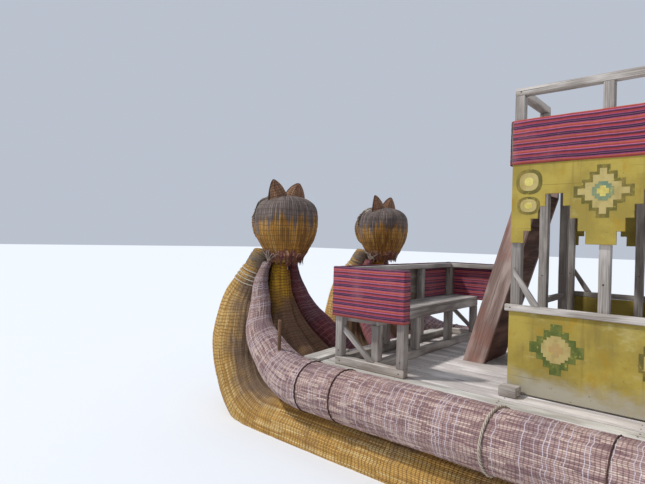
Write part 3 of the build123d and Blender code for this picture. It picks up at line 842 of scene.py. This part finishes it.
def bundleSkin(path, side, pressed, cols, bunches, ridge):
    # Circles square to the path, ridged by bunches of reeds, drawn in a little at each main binding
    # and roughened by slow waves. A pressed one is flat at the hull's centreline.
    theta = circle(cols)
    s, o, turn = (path[k][:, None] for k in ("s", "o", "turn"))
    phase = rng.uniform(0, 6.28, 6)
    bunch = np.abs(np.cos(bunches * theta / 2 + 0.35 * np.sin(s * 1.3 + phase[0])))
    waves = (np.sin(2 * theta + s * 2.1 + phase[1]) + np.sin(3 * theta - s * 3.7 + phase[2])
             + np.sin(5 * theta + s * 6.1 + phase[3])) / 3
    pinch = np.maximum(np.cos(s * math.pi / reedRoughness["pinchSpacing"] + phase[4]), 0) ** 10
    thin = np.clip(path["r"] / path["r"].max(), 0, 1)[:, None]
    r = (path["r"][:, None] - ridge * thin * (1 - bunch) - reedRoughness["waves"] * thin * (1 - waves) / 2
         - reedRoughness["pinch"] * pinch)
    y = o + r * np.cos(theta)
    if pressed:
        y = np.maximum(y, 0.0004)
    up = r * np.sin(theta)
    points = np.stack([zero + path["t"][:, None] - np.sin(turn) * up, hullY + side * y,
                       path["z"][:, None] + np.cos(turn) * up], 2)
    normal = np.stack([-np.sin(turn) * np.sin(theta), side * np.cos(theta) + 0 * turn,
                       np.cos(turn) * np.sin(theta)], 2)
    return {"points": points, "normal": normal, "path": path, "side": side}


prowFoot = {"top": 1.72, "height": 0.45}      # where the foot term ends, painted sunlight on the outer main and painted shade on the heart and packing, and how far it fades


def bundlePart(skin, reeds, weather):
    # The skin with whole reeds round it. Its mark of weather and painted shade is a sum over the way the
    # surface faces: facing ahead and to port, towards the sun, it is less grey, as painted light; facing up
    # it is greyer from weathering.
    cols = skin["points"].shape[1]
    uv = mapOf(skin["path"]["s"][:, None], np.arange(cols + 1) * reeds / cols)
    grey = weather[0] + skin["normal"] @ np.array(weather[1:4])
    grey += weather[4] * np.clip((prowFoot["top"] - skin["points"][..., 2]) / prowFoot["height"], 0, 1)
    return gridPart(skin["points"], uv, flip=skin["side"] < 0, weather=np.clip(grey, 0, 1))


hulls = ("port", "starboard")


def makeOn(hull, name, parts, finish, node=None):
    # A piece of the port hull, or its mirror image on the starboard one.
    parts = parts if hull == "port" else [mirroredPart(part) for part in parts]
    return makePiece(hull + name, parts, finish, node and hull + "_" + node)


def ringPath(skin, station, lift, tilt):
    # A closed line round a bundle at a station, a little off its skin. It slants by tilt.
    path = skin["path"]
    cols = skin["points"].shape[1]
    foremost = np.argmax(path["t"])
    at = station if station > 5 else np.interp(station, path["t"][:foremost], path["s"][:foremost])
    where = np.interp(at + tilt * np.cos(circle(cols)), path["s"], np.arange(len(path["s"])))
    low = np.clip(where.astype(int), 0, len(path["s"]) - 2)
    f = (where - low)[:, None]
    j = np.arange(cols)
    out = skin["normal"][low, j]
    return skin["points"][low, j] * (1 - f) + skin["points"][low + 1, j] * f + lift * out, out


def ropePart(line, out, radius, closed=True, cols=8):
    # A round cord along a line; out is any direction roughly square to it, for each point.
    ahead = (np.roll(line, -1, 0) - np.roll(line, 1, 0)) if closed else np.gradient(line, axis=0)
    ahead /= np.linalg.norm(ahead, axis=1)[:, None]
    cross = np.cross(ahead, out)
    cross /= np.linalg.norm(cross, axis=1)[:, None]
    out = np.cross(cross, ahead)
    phi = circle(cols)[:, None]
    points = line[:, None] + radius * (np.cos(phi) * out[:, None] + np.sin(phi) * cross[:, None])
    if closed:
        points = np.concatenate([points, points[:1]])
    uv = mapOf(reachOf(points[:, 0])[:, None], np.arange(cols + 1) / cols)
    return gridPart(points, uv, caps=not closed)


# Columns: piece, CAD node, path (bow rows, stern rows, spacing), skin (side, pressed, columns,
# bunches, ridge), reeds round it, weather and painted shade (its mean, what each facing adds: ahead,
# port, up, and what the foot of the prow adds), finish. Less grey facing ahead and to port is painted
# light; the outer main's foot term paints sunlight, and the heart's and the packing's paint shade low
# down, as does the packing's high mean.
bundleTable = [
    ("MainOuter", "main_bundle_outer", ("mainBow", "mainStern", 0.05), (1, True, 144, 30, 0.008), 150,
     (0.40, -0.75, -0.10, 0.25, -0.12), "goldenReed"),
    ("MainInner", "main_bundle_inner", ("mainBow", "mainStern", 0.05), (-1, True, 144, 30, 0.008), 150,
     (0.34, -0.75, -0.10, 0.25, 0.0), "goldenReed"),
    ("Heart", "heart_bundle", ("heartBow", "heartStern", 0.07), (1, False, 48, 14, 0.006), 60,
     (0.0, -0.10, 0.0, 0.0, 0.9), "heartReed"),
    ("RollOuter", "gunwale_roll_outer", ("outerBow", "outerStern", 0.04), (1, False, 112, 26, 0.006), 110,
     (0.25, -0.35, -0.10, 0.20, 0.0), "mauveReed"),
    ("RollInner", "gunwale_roll_inner", ("innerBow", "innerStern", 0.05), (-1, False, 80, 20, 0.006), 80,
     (0.35, -0.30, 0.0, 0.2, 0.0), "darkReed"),
    ("Packing", None, ("packingBow", "packingStern", 0.05), (-1, False, 40, 12, 0.006), 44,
     (0.45, -0.10, 0.0, 0.0, 0.6), "heartReed"),
]
skins = {}
for name, node, path, form, reeds, weather, finish in bundleTable:
    skins[name] = bundleSkin(bundlePath(*path), *form)
    part = bundlePart(skins[name], reeds, weather)
    for hull in hulls:
        makeOn(hull, name, [part], finish, node)
print("reed bundles ready")


# Cats' heads on the prows

head = {"station": 1.0, "neck": 1.925, "widest": 2.38, "reeds": 92, "cols": 168, "ridge": 0.007,
        "greyFrom": 2.17, "greyTo": 2.47, "muzzleMiddle": 2.355,
        "ringSpacing": 0.085, "lumps": 0.003, "muzzleReeds": 64, "muzzleCols": 128, "muzzleRidge": 0.006,
        "fringe": 170, "fringeTop": 2.035, "tuft": 330, "tuftReach": 0.395, "browEnd": 0.385,
        "wraps": 44, "wrapRadius": 0.0045, "wrapLift": 0.017,
        # Nose and lips: height, distance ahead, half width, radius
        "face": [(2.47, 0.374, 0.045, 0.036), (2.33, 0.382, 0.15, 0.022), (2.25, 0.376, 0.14, 0.022)]}
# Columns: radius, height above the neck, as in the CAD, in millimetres
headOutline = [(180, 0), (190, 45), (245, 125), (330, 290), (352, 455), (310, 635), (225, 700),
               (120, 728), (0, 732)]
# Columns: distance ahead of the head's middle, radius
muzzleOutline = [(0.04, 0.262), (0.20, 0.246), (0.29, 0.232), (0.338, 0.216), (0.364, 0.184),
                 (0.368, 0.120), (0.364, 0.0)]
headMiddle = np.array([zero + head["station"], hullY, 0.0])
headProfile = smoothLine([(r / 1000, head["neck"] + z / 1000) for r, z in headOutline], 72)
headProfile[:, 0] = np.maximum(headProfile[:, 0], 0)


def turnedForm(profile, middle, axis, across, second, reeds, cols, ridge, mark):
    # A profile of (radius, distance along axis) carried round the axis, in ridges of reeds that
    # start and end softly. mark gives the weather from each point's place.
    theta = circle(cols)
    radius, along = profile[:, 0][:, None], profile[:, 1][:, None]
    phase = rng.uniform(0, 6.28, 3)
    bunch = np.abs(np.cos(reeds / 4 * theta + 0.2 * np.sin(5 * along + phase[0])))
    waves = np.sin(3 * theta + 4 * along + phase[1]) + np.sin(5 * theta - 7 * along + phase[2])
    rings = np.maximum(np.cos(along * 2 * math.pi / head["ringSpacing"]), 0) ** 6
    size = np.clip(radius / 0.2, 0, 1)
    r = radius - ridge * size * (1 - bunch + 0.5 * rings) + head["lumps"] * size * waves
    points = middle + (along[..., None] * axis
                       + r[..., None] * (np.cos(theta)[:, None] * across + np.sin(theta)[:, None] * second))
    return gridPart(points, mapOf(reachOf(profile)[:, None], np.arange(cols + 1) * reeds / cols),
                    weather=mark(points))


def greyAbove(points):
    # 0 on the golden lower half of a head and 1 on its grey crown. The edge sinks ahead, and waves
    # from reed to reed as a sum of sines of the angle.
    ahead, out = points[..., 0] - headMiddle[0], points[..., 1] - headMiddle[1]
    angle = np.arctan2(out, ahead)
    edge = (0.05 * np.sin(9 * angle + 1) + 0.05 * np.sin(23 * angle) + 0.04 * np.sin(37 * angle + 2)
            - 0.20 * np.clip(ahead, -0.3, 0.3))
    f = np.clip((points[..., 2] - head["greyFrom"] - edge) / (head["greyTo"] - head["greyFrom"]), 0, 1)
    return f * f * (3 - 2 * f)


def makeSkull():
    # The skull turned round the upright axis, and the muzzle round the one that points ahead.
    x, y, z = np.eye(3)
    skull = turnedForm(headProfile, headMiddle, z, x, y, head["reeds"], head["cols"], head["ridge"],
                       greyAbove)
    nose = smoothLine([(r, d) for d, r in muzzleOutline], 36)
    nose[:, 0] = np.maximum(nose[:, 0], 0)
    muzzle = turnedForm(nose, headMiddle + head["muzzleMiddle"] * z, x, y, z, head["muzzleReeds"],
                        head["muzzleCols"], head["muzzleRidge"], lambda points: 0.6 * greyAbove(points))
    return [skull, muzzle]


def stripPart(line, side, width, **marks):
    # A flat strip, as wide as width says, along a line; side is the direction across it.
    points = line[:, None] + np.array([-0.5, 0.5])[None, :, None] * width[:, None, None] * side
    uv = mapOf(np.linspace(0, 1, len(line))[:, None], np.array([0, 1]))
    return gridPart(points, uv, wrap=False, **marks)


def roundNeck(heights, angle, off):
    # A line at some distance off the head's profile, at each height and angle.
    r = np.interp(heights, headProfile[:, 1], headProfile[:, 0]) + off
    return headMiddle + np.stack([r * np.cos(angle), r * np.sin(angle), heights], 1)


def makeFringe():
    # Ragged strips that hang round the neck, flare a little and narrow to their ends.
    found = []
    f = np.linspace(0, 1, 7)
    for angle in np.sort(rng.uniform(0, 2 * math.pi, head["fringe"])):
        top = head["fringeTop"] + rng.uniform(-0.03, 0.03)
        low = head["neck"] - rng.uniform(-0.05, 0.04)
        out, flare = rng.uniform(0.004, 0.012), rng.uniform(0.0, 0.02)
        line = roundNeck(np.linspace(top, low, 7), angle + rng.uniform(-0.10, 0.10) * f, out + flare * f**2)
        side = np.array([-math.sin(angle), math.cos(angle), rng.uniform(-0.2, 0.2)])
        width = rng.uniform(0.014, 0.03) * (1 - 0.6 * f**3)
        found.append(stripPart(line, side, width, weather=rng.uniform(0, 1)))
    return found


def makeTuft():
    # Short strips that lie over the brow, on the skull or the muzzle, whichever is higher there.
    found = []
    f = np.linspace(0, 1, 7)
    ahead, wide = np.array(muzzleOutline)[:-1].T
    crown = headProfile[headProfile[:, 1] > head["widest"]][::-1]
    for _ in range(head["tuft"]):
        x0, y0, turn = rng.uniform(0.04, 0.35), rng.uniform(-0.23, 0.23), rng.uniform(-0.6, 0.6)
        x = x0 + rng.uniform(0.07, 0.13) * f * math.cos(turn)
        y = y0 * (1 + 0.2 * f) + 0.05 * f * math.sin(turn)
        if math.hypot(x[-1], y[-1]) > head["tuftReach"]:
            continue
        skullTop = np.interp(np.hypot(x, y), crown[:, 0], crown[:, 1])
        muzzleTop = head["muzzleMiddle"] + np.sqrt(np.maximum(np.interp(x, ahead, wide) ** 2 - y**2, 0))
        top = np.maximum(skullTop, muzzleTop) - 0.8 * np.maximum(x - head["browEnd"], 0)
        line = headMiddle + np.stack([x, y, top + 0.003 + rng.uniform(0.0, 0.028) * f**1.5], 1)
        side = np.array([-0.3 * math.sin(turn), 0.5, rng.choice([-1, 1]) * rng.uniform(0.2, 0.9)])
        width = rng.uniform(0.012, 0.024) * (1 - 0.5 * f**3)
        found.append(stripPart(line, side / np.linalg.norm(side), width, weather=rng.uniform(0, 0.7)))
    return found


def makeWraps():
    # Pale threads that cross as they climb round the neck.
    found = []
    f = np.linspace(0, 1, 12)
    for k in range(head["wraps"]):
        start = rng.uniform(-1.7, 1.3)
        turn = start + rng.uniform(0.5, 0.9) * f * (1 if k % 2 else -1)
        heights = head["neck"] + rng.uniform(-0.01, 0.02) + (0.10 + rng.uniform(-0.02, 0.03)) * f
        out = np.stack([np.cos(turn), np.sin(turn), 0 * turn], 1)
        line = roundNeck(heights, turn, head["wrapLift"])
        found.append(ropePart(line, out, head["wrapRadius"], closed=False, cols=6))
    return found


def makeFace():
    # The nose and the lips as bows round the muzzle's end.
    found = []
    angle = np.linspace(-1, 1, 25)[:, None]
    for height, reach, width, radius in head["face"]:
        line = headMiddle + np.hstack([reach - 0.10 * angle**2, width * angle, height - 0.03 * angle**2])
        found.append(ropePart(line, np.tile([1.0, 0, 0.01], (25, 1)), radius, closed=False, cols=12))
    return found


ear = {"tilt": 20, "behind": 0.01, "aside": 0.105, "height": 2.550, "length": 0.285, "halfWidth": 0.138,
       "cup": 0.085, "rim": 0.008, "wall": 0.012}


def earParts(across):
    # A leaf bent into a cup, with a cord round its rim. Half width and depth shrink towards the tip.
    tilt = math.radians(ear["tilt"])
    axis = np.array([0, across * math.sin(tilt), math.cos(tilt)])
    opening = np.array([0.95, across * 0.14, 0.1])
    opening -= axis * (opening @ axis)
    opening /= np.linalg.norm(opening)
    side = np.cross(axis, opening)
    base = headMiddle + np.array([-ear["behind"], across * ear["aside"], ear["height"]])
    u, v = np.linspace(-1, 1, 33), np.linspace(0, 1, 25)[:, None]
    half = ear["halfWidth"] * (1 - v ** 2.4) ** 0.75 * (0.90 + 0.5 * v * (1 - v)) + 0.004
    depth = ear["cup"] * (1 - v ** 1.5) + 0.008
    curl = 1.15 * (1 - 0.3 * v)
    angle = u * curl * math.pi / 2
    aside = half * np.sin(angle) / np.sin(np.minimum(curl, 1) * math.pi / 2)
    inside = 0.02 - depth * np.cos(angle) + 0.004 * np.abs(np.cos(9 * u))
    points = (base + v[..., None] * ear["length"] * axis + aside[..., None] * side
              + inside[..., None] * opening)
    rim = smoothLine(np.concatenate([points[:, 0], points[::-1, -1]])[::2], 60)
    cord = ropePart(rim, np.gradient(rim, axis=0)[:, [1, 2, 0]], ear["rim"], closed=False)
    return gridPart(points, mapOf(v * ear["length"], (u + 1) * 9), wrap=False,
                    weather=np.abs(u) ** 6 + 0 * v), cord


skull, fringe, tuft, wraps, face = makeSkull(), makeFringe(), makeTuft(), makeWraps(), makeFace()
leaves, rims = zip(*(earParts(across) for across in (1, -1)))
for hull in hulls:
    makeOn(hull, "Head", skull, "headReed", "head")
    makeOn(hull, "HeadFringe", fringe, "fringeReed")
    makeOn(hull, "HeadTuft", tuft, "tuftReed")
    makeOn(hull, "HeadFace", face, "darkRope")
    makeOn(hull, "HeadWraps", wraps, "paleRope")
    wall = makeOn(hull, "Ears", leaves, "earReed", "ears").modifiers.new("wall", "SOLIDIFY")
    wall.thickness, wall.offset = ear["wall"], 0
    makeOn(hull, "EarRims", rims, "darkRope")
print("heads ready")


# Rope rings round the gunwale rolls and white lashings at the prows

tip = skins["MainOuter"]["path"]["s"][-1]
# Columns: bundle, first and last place, spacing, cord radius, slant, finish. A place is a station,
# or where it is above 5 a length along the bundle from its tail.
ringTable = [
    ("RollOuter", -0.28, 0.10, 0.38, 0.0065, 0.020, "darkRope"),
    ("RollOuter", -4.45, -2.30, 1.075, 0.0050, 0.020, "darkRope"),
    ("RollOuter", -5.40, -1.60, 1.90, 0.0110, 0.030, "paleRope"),
    ("RollInner", -5.50, 0.30, 1.45, 0.0060, 0.015, "darkRope"),
    ("MainOuter", tip - 0.36, tip - 0.20, 0.045, 0.006, 0.012, "whiteRope"),
    ("MainInner", tip - 0.36, tip - 0.20, 0.045, 0.006, 0.012, "whiteRope"),
    ("MainOuter", tip - 0.13, tip - 0.03, 0.021, 0.0050, 0.032, "greyRope"),
    ("MainOuter", tip - 0.13, tip - 0.03, 0.021, 0.0050, -0.032, "greyRope"),
    ("MainInner", tip - 0.13, tip - 0.03, 0.021, 0.0050, 0.032, "greyRope"),
    ("MainInner", tip - 0.13, tip - 0.03, 0.021, 0.0050, -0.032, "greyRope"),
]
rings = {}
for bundle, first, last, spacing, radius, slant, finish in ringTable:
    for place in np.arange(first, last + 1e-6, spacing):
        line, out = ringPath(skins[bundle], place, radius * 0.6, slant * rng.uniform(0.6, 1.4))
        rings.setdefault(finish, []).append(ropePart(line[::2], out[::2], radius, cols=6))
for finish, parts in rings.items():
    makePiece(finish + "RingsPort", parts, finish)
    makePiece(finish + "RingsStarboard", [mirroredPart(p) for p in parts], finish)
print("rope rings ready")


# Planks that aren't square boxes: the CAD's own faces, joined, with softened edges

def copiedPiece(node, finish, grain, edge=0.003):
    # The node's triangles merged into faces. u runs with the grain and v across it on each face.
    name = nameOf(node)
    mesh = bpy.data.meshes.new(name)
    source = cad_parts[node]
    work = bmesh.new()
    work.from_mesh(source.data)
    work.transform(source.matrix_world)
    bmesh.ops.remove_doubles(work, verts=work.verts, dist=1e-5)
    bmesh.ops.dissolve_limit(work, angle_limit=math.radians(1), verts=work.verts, edges=work.edges)
    along = Vector(grain).normalized()
    layer = work.loops.layers.uv.new("along")
    for face in work.faces:
        across = face.normal.cross(along)
        across = across.normalized() if across.length > 0.1 else face.normal.orthogonal().normalized()
        for loop in face.loops:
            loop[layer].uv = (loop.vert.co.dot(along), loop.vert.co.dot(across))
    work.to_mesh(mesh)
    work.free()
    tone = mesh.attributes.new("tone", "FLOAT", "POINT")
    co = np.empty(len(mesh.vertices) * 3, np.float32)
    mesh.vertices.foreach_get("co", co)
    tone.data.foreach_set("value", 0.5 + 0.5 * np.sin(co.reshape(-1, 3) @ np.array([0.2, 2.3, 0.4])))
    worn = addPiece(name, mesh, finish, node).modifiers.new("worn", "BEVEL")
    worn.width, worn.segments, worn.limit_method = edge, 2, "ANGLE"


# Columns: node, finish, grain's direction
plankTable = [
    ("stair_stringers", "stairWood", (-0.298, 0, 1)),
    ("stair_risers", "treadWood", (0, 1, 0)),
    ("bench_braces", "greyWood", (0.93, 0, 0.80)),
    ("knee_braces", "greyWood", (0.65, 0, 0.76)),
    ("loose_plank", "edgeWood", (-0.087, 0.996, 0)),
    ("waist_panels", "yellowPaint", (1, 0, 0)),
    ("valance_port", "yellowPaint", (1, 0, 0)),
    ("valance_starboard", "yellowPaint", (1, 0, 0)),
]
for row in plankTable:
    copiedPiece(*row)
print("planks and painted boards ready")


# The mooring stake: a whittled stick

stake = {"radius": 0.0172, "tenonRadius": 0.0138, "tenonHeight": 0.08, "slope": 0.006, "rows": 30, "cols": 20}


def makeStake():
    # A round stick with slow lumps: its radius is a sum of waves round it and up it. A tenon below
    # stands in the roll, and the top is cut at a slant.
    low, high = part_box("mooring_stake")
    middle = (low + high) / 2
    z = np.linspace(low.z, high.z, stake["rows"])[:, None]
    theta = circle(stake["cols"])
    r = stake["radius"] + 0.0007 * np.sin(3 * theta + z * 30) + 0.0006 * np.sin(z * 70)
    r = np.where(z < low.z + stake["tenonHeight"], stake["tenonRadius"], r)
    r[-1] *= 0.86
    slant = stake["slope"] * (z > high.z - 0.004) * (np.cos(theta) - 1)
    points = np.stack([middle.x + r * np.cos(theta), middle.y + r * np.sin(theta), z + slant], 2)
    uv = mapOf(z, np.arange(stake["cols"] + 1) * 0.0055)
    makePiece("mooringStake", [gridPart(points, uv, tone=0.4)], "stakeWood", "mooring_stake")


makeStake()


# Stepped crosses and plain ornaments painted on the yellow boards, each layer a thin raised skin

# Heights are above the deck. Insets and spacings run aft from the cabin's front, and the inset of the
# round figures from its rear as well.
motif = {"thickness": 0.0012, "crossHalf": 0.19, "bays": 6, "waistHeight": 0.393, "waistInset": 0.354,
         "valanceHeight": 1.573, "valanceInset": 0.008, "valanceSpacing": 0.63, "pairHeight": 1.59,
         "pairInset": 0.13}
bigSteps = [(1.0, 0.22), (0.72, 0.46), (0.46, 0.74), (0.22, 1.0)]
# Each layer: finish, and its half sizes at each step as shares of the cross's half size
crossLayers = [
    ("oliveMotif", bigSteps),
    ("beigeMotif", [(0.86, 0.12), (0.60, 0.34), (0.34, 0.62), (0.12, 0.86)]),
    ("tealMotif", [(0.36, 0.16), (0.27, 0.27), (0.16, 0.36)]),
    ("paleMotif", [(0.20, 0.10), (0.10, 0.20)]),
]
waistLayers = [
    ("greenMotif", bigSteps),
    ("beigeMotif", [(0.54, 0.20), (0.46, 0.34), (0.34, 0.46), (0.20, 0.54)]),
    ("orangeMotif", [(0.26, 0.12), (0.12, 0.26)]),
]
tallLayers = [
    ("oliveMotif", [(0.56, 0.34), (0.42, 0.62), (0.28, 0.90)]),
    ("beigeMotif", [(0.40, 0.26), (0.28, 0.48), (0.16, 0.72)]),
    ("tealMotif", [(0.20, 0.14), (0.12, 0.30)]),
]
# Two round figures one above the other. Columns: height from the middle, half width, half height
ringPairs = [(0.077, 0.098, 0.098), (-0.108, 0.085, 0.070)]
ringLayers = [("oliveMotif", 1.0), ("beigeMotif", 0.72), ("paleMotif", 0.34)]


def stepped(layers):
    # Corners of each layer's stepped shape, which is alike in all four quarters.
    found = []
    for finish, steps in layers:
        corners = [(steps[(k + 1) // 2][0], steps[k // 2][1]) for k in range(2 * len(steps) - 1)]
        quarter = np.array(corners) * motif["crossHalf"]
        found.append((finish, np.concatenate([quarter, quarter[::-1] * [-1, 1], -quarter,
                                              quarter[::-1] * [1, -1]])))
    return found


def rounded(halfWidth, halfHeight):
    # A round shape for each ring layer, a little squarer than a circle.
    angle = circle(28)
    ring = np.stack([np.cos(angle), np.sin(angle)], 1)
    ring = np.sign(ring) * np.abs(ring) ** 0.8
    return [(finish, ring * [halfWidth * share, halfHeight * share]) for finish, share in ringLayers]


def skinPart(outline, middle, lift, side):
    # A flat face with a low rim, on a board that faces port (side 1) or starboard (side -1).
    n = len(outline)
    base = np.stack([middle[0] + outline[:, 0], np.full(n, middle[1]), middle[2] + outline[:, 1]], 1)
    verts = np.concatenate([base, base + [0, side * lift, 0]])
    k = np.arange(n)
    rim = np.stack([k, np.roll(k, -1), np.roll(k, -1) + n, k + n], 1)
    loops = np.concatenate([rim.ravel(), k[::-1] + n])
    totals = np.concatenate([np.full(n, 4), [n]])
    part = {"verts": verts, "loops": loops, "totals": totals, "uv": verts[loops][:, [0, 2]], "marks": {}}
    ahead = np.roll(outline, -1, 0) - outline
    area = (outline[:, 0] * ahead[:, 1] - outline[:, 1] * ahead[:, 0]).sum()
    return turned(part) if (area > 0) == (side < 0) else part


def makeMotifs():
    # Crosses at the valances' low points and round figures at their ends. Along the waist panels
    # stand crosses and tall lozenges in turn.
    face, waist = (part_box(node)[1].y for node in ("valance_port", "waist_panels"))
    bay = (cabinFront - cabinRear) / motif["bays"]
    places = [(stepped(crossLayers), cabinFront - motif["valanceSpacing"] * k - motif["valanceInset"], face,
               motif["valanceHeight"]) for k in range(1, motif["bays"])]
    places += [(stepped(tallLayers if k % 2 else waistLayers), cabinFront - motif["waistInset"] - k * bay,
                waist, motif["waistHeight"]) for k in range(motif["bays"])]
    places += [(rounded(halfWidth, halfHeight), x, face, motif["pairHeight"] + up)
               for x in (cabinFront - motif["pairInset"], cabinRear + motif["pairInset"])
               for up, halfWidth, halfHeight in ringPairs]
    found = {}
    for layers, x, y, above in places:
        for level, (finish, outline) in enumerate(layers):
            lift = motif["thickness"] * (level + 1)
            for side in (1, -1):
                middle = x, side * y, deckTop + above
                found.setdefault(finish, []).append(skinPart(outline, middle, lift, side))
    for finish, parts in found.items():
        makePiece(finish + "s", parts, finish, sharp=30)


makeMotifs()
print("stake and ornaments ready")


# Striped cloths over the bench's boards and round the parapet

cloth = {"thickness": 0.004, "columns": 90, "bend": 0.012, "rows": 16, "dip": 0.006,
         "gap": 0.0035,                # from a board's face to the middle of the cloth
         # How each kind hangs: its width over the top edge, depth behind it, and waves
         "bench": (0.026, 0, 0.004), "band": (0.012, 0.05, 0.003), "lining": (0.004, 0, 0.001)}


def hungSheet(name, kind, corners, inward, low, high, node):
    # A sheet on a line of corners in plan: up its outside, round the top edge and down inside. Slow
    # waves push it in and out, and its lower edge dips between them.
    over, behind, wave = cloth[kind]
    bend = cloth["bend"]
    path = smoothLine(corners, cloth["columns"])
    reach = reachOf(np.array(corners, float))
    at = np.linspace(0, reach[-1], cloth["columns"])
    inward = np.stack([np.interp(at, reach, column) for column in np.array(inward, float).T], 1)
    inward /= np.linalg.norm(inward, axis=1)[:, None]
    turn = np.linspace(0, math.pi / 2, 6)[1:]
    profile = [(0, z) for z in np.linspace(low, high - bend, cloth["rows"])]
    profile += [(bend - bend * math.cos(a), high - bend + bend * math.sin(a)) for a in turn]
    profile += [(bend + over * f, high) for f in (0.33, 0.66, 1.0)]
    profile += [(bend + over + 0.004 * f, high - behind * f) for f in (0.15, 0.5, 1.0)] if behind else []
    profile = np.array(profile)
    length, steps = reachOf(path), reachOf(profile)
    phase = rng.uniform(0, 6.28, 6)
    a, b = length[None], steps[:, None]
    push = (np.sin(a * 9 + phase[0] + b * 3) + np.sin(a * 23 + phase[1] - b * 7)
            + 0.6 * np.sin(a * 51 + phase[2])) / 2.6
    loose = np.clip((profile[:, 1].max() - profile[:, 1]) / 0.2, 0, 1)[:, None]
    inside = profile[:, :1] - wave * (0.5 + 0.5 * push) * loose
    below = (1 - np.arange(len(profile))[:, None] / len(profile)) ** 4
    dip = cloth["dip"] * below * (0.5 + 0.5 * np.sin(a * 5 + phase[3]))
    points = np.empty((len(profile), len(path), 3))
    points[..., :2] = path[None] + inward[None] * inside[..., None]
    points[..., 2] = profile[:, 1:2] - dip + 0.0015 * push
    part = gridPart(points, mapOf(a, b), wrap=False)
    row, column = len(profile) // 3, len(path) // 2
    here = points[row, column]
    across = np.cross(points[row + 1, column] - here, points[row, column + 1] - here)
    piece = makePiece(name, [part if across[:2] @ inward[column] < 0 else turned(part)], "stripedCloth", node)
    wall = piece.modifiers.new("wall", "SOLIDIFY")
    wall.thickness, wall.offset = cloth["thickness"], 0


def makeCloths():
    # On the bench a cloth's top is a little above the CAD one, on the parapet it covers the edge.
    gap = cloth["gap"]
    benchTop, bandTop, benchLow = gap + 0.004, gap + 0.017, 0.004
    for side, word in ((1, "port"), (-1, "starboard")):
        low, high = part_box("bench_cloth_" + word)
        out = (high.y if side > 0 else -low.y) - 0.012 + gap
        corners = [(high.x + 0.004, out), ((high.x + low.x) / 2, out), (low.x + 0.03, out),
                   (low.x - 0.002, out - 0.006), (low.x - gap, out - 0.03), (low.x - gap, out - 0.095)]
        inward = [(0, -1), (0, -1), (0, -1), (0.6, -0.6), (1, 0), (1, 0)]
        hungSheet("benchCloth" + word.title(), "bench", [(x, side * y) for x, y in corners],
                  [(x, side * y) for x, y in inward], low.z - benchLow, high.z + benchTop,
                  "bench_cloth_" + word)
        low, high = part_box("band_" + word)
        out = side * ((high.y if side > 0 else -low.y) - 0.012 + gap)
        hungSheet("band" + word.title(), "band", [(high.x, out), (low.x, out)], [(0, -side)] * 2, low.z,
                  high.z + bandTop, "band_" + word)
    low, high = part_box("bench_cloth_front")
    hungSheet("benchClothFront", "bench", [(low.x + gap, low.y), (low.x + gap, high.y)], [(-1, 0)] * 2,
              low.z - benchLow, high.z + benchTop, "bench_cloth_front")
    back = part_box("bench_back_panels")
    ahead, beside, top = back[1].x - 0.024, back[0].y + 0.024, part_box("bench_posts")[1].z - 0.01
    inner = max(post[:, 1].min() for post in solidsOf("bench_posts")
                if post[:, 0].max() > ahead - 0.15 and post[:, 1].max() < -0.1)
    hungSheet("benchLining", "lining", [(ahead, low.y + 0.13), (ahead, inner - 0.002)], [(-1, 0)] * 2,
              low.z, top, None)
    hungSheet("benchLiningStarboard", "lining", [(back[0].x + 0.02, beside), (back[1].x - 0.10, beside)],
              [(0, 1)] * 2, low.z, top, None)
    low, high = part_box("band_aft")
    hungSheet("bandAft", "band", [(high.x - gap, low.y), (high.x - gap, high.y)], [(1, 0)] * 2, low.z,
              high.z + bandTop, "band_aft")
    solids = sorted(solidsOf("band_front"), key=lambda solid: solid[:, 1].mean())
    for name, node, solid in zip(("bandFrontStarboard", "bandFrontPort"), (None, "band_front"), solids):
        low, high = solid.min(0), solid.max(0)
        hungSheet(name, "band", [(low[0] + gap, low[1]), (low[0] + gap, high[1])], [(-1, 0)] * 2, low[2],
                  high[2] + bandTop, node)


makeCloths()
print("cloths ready")
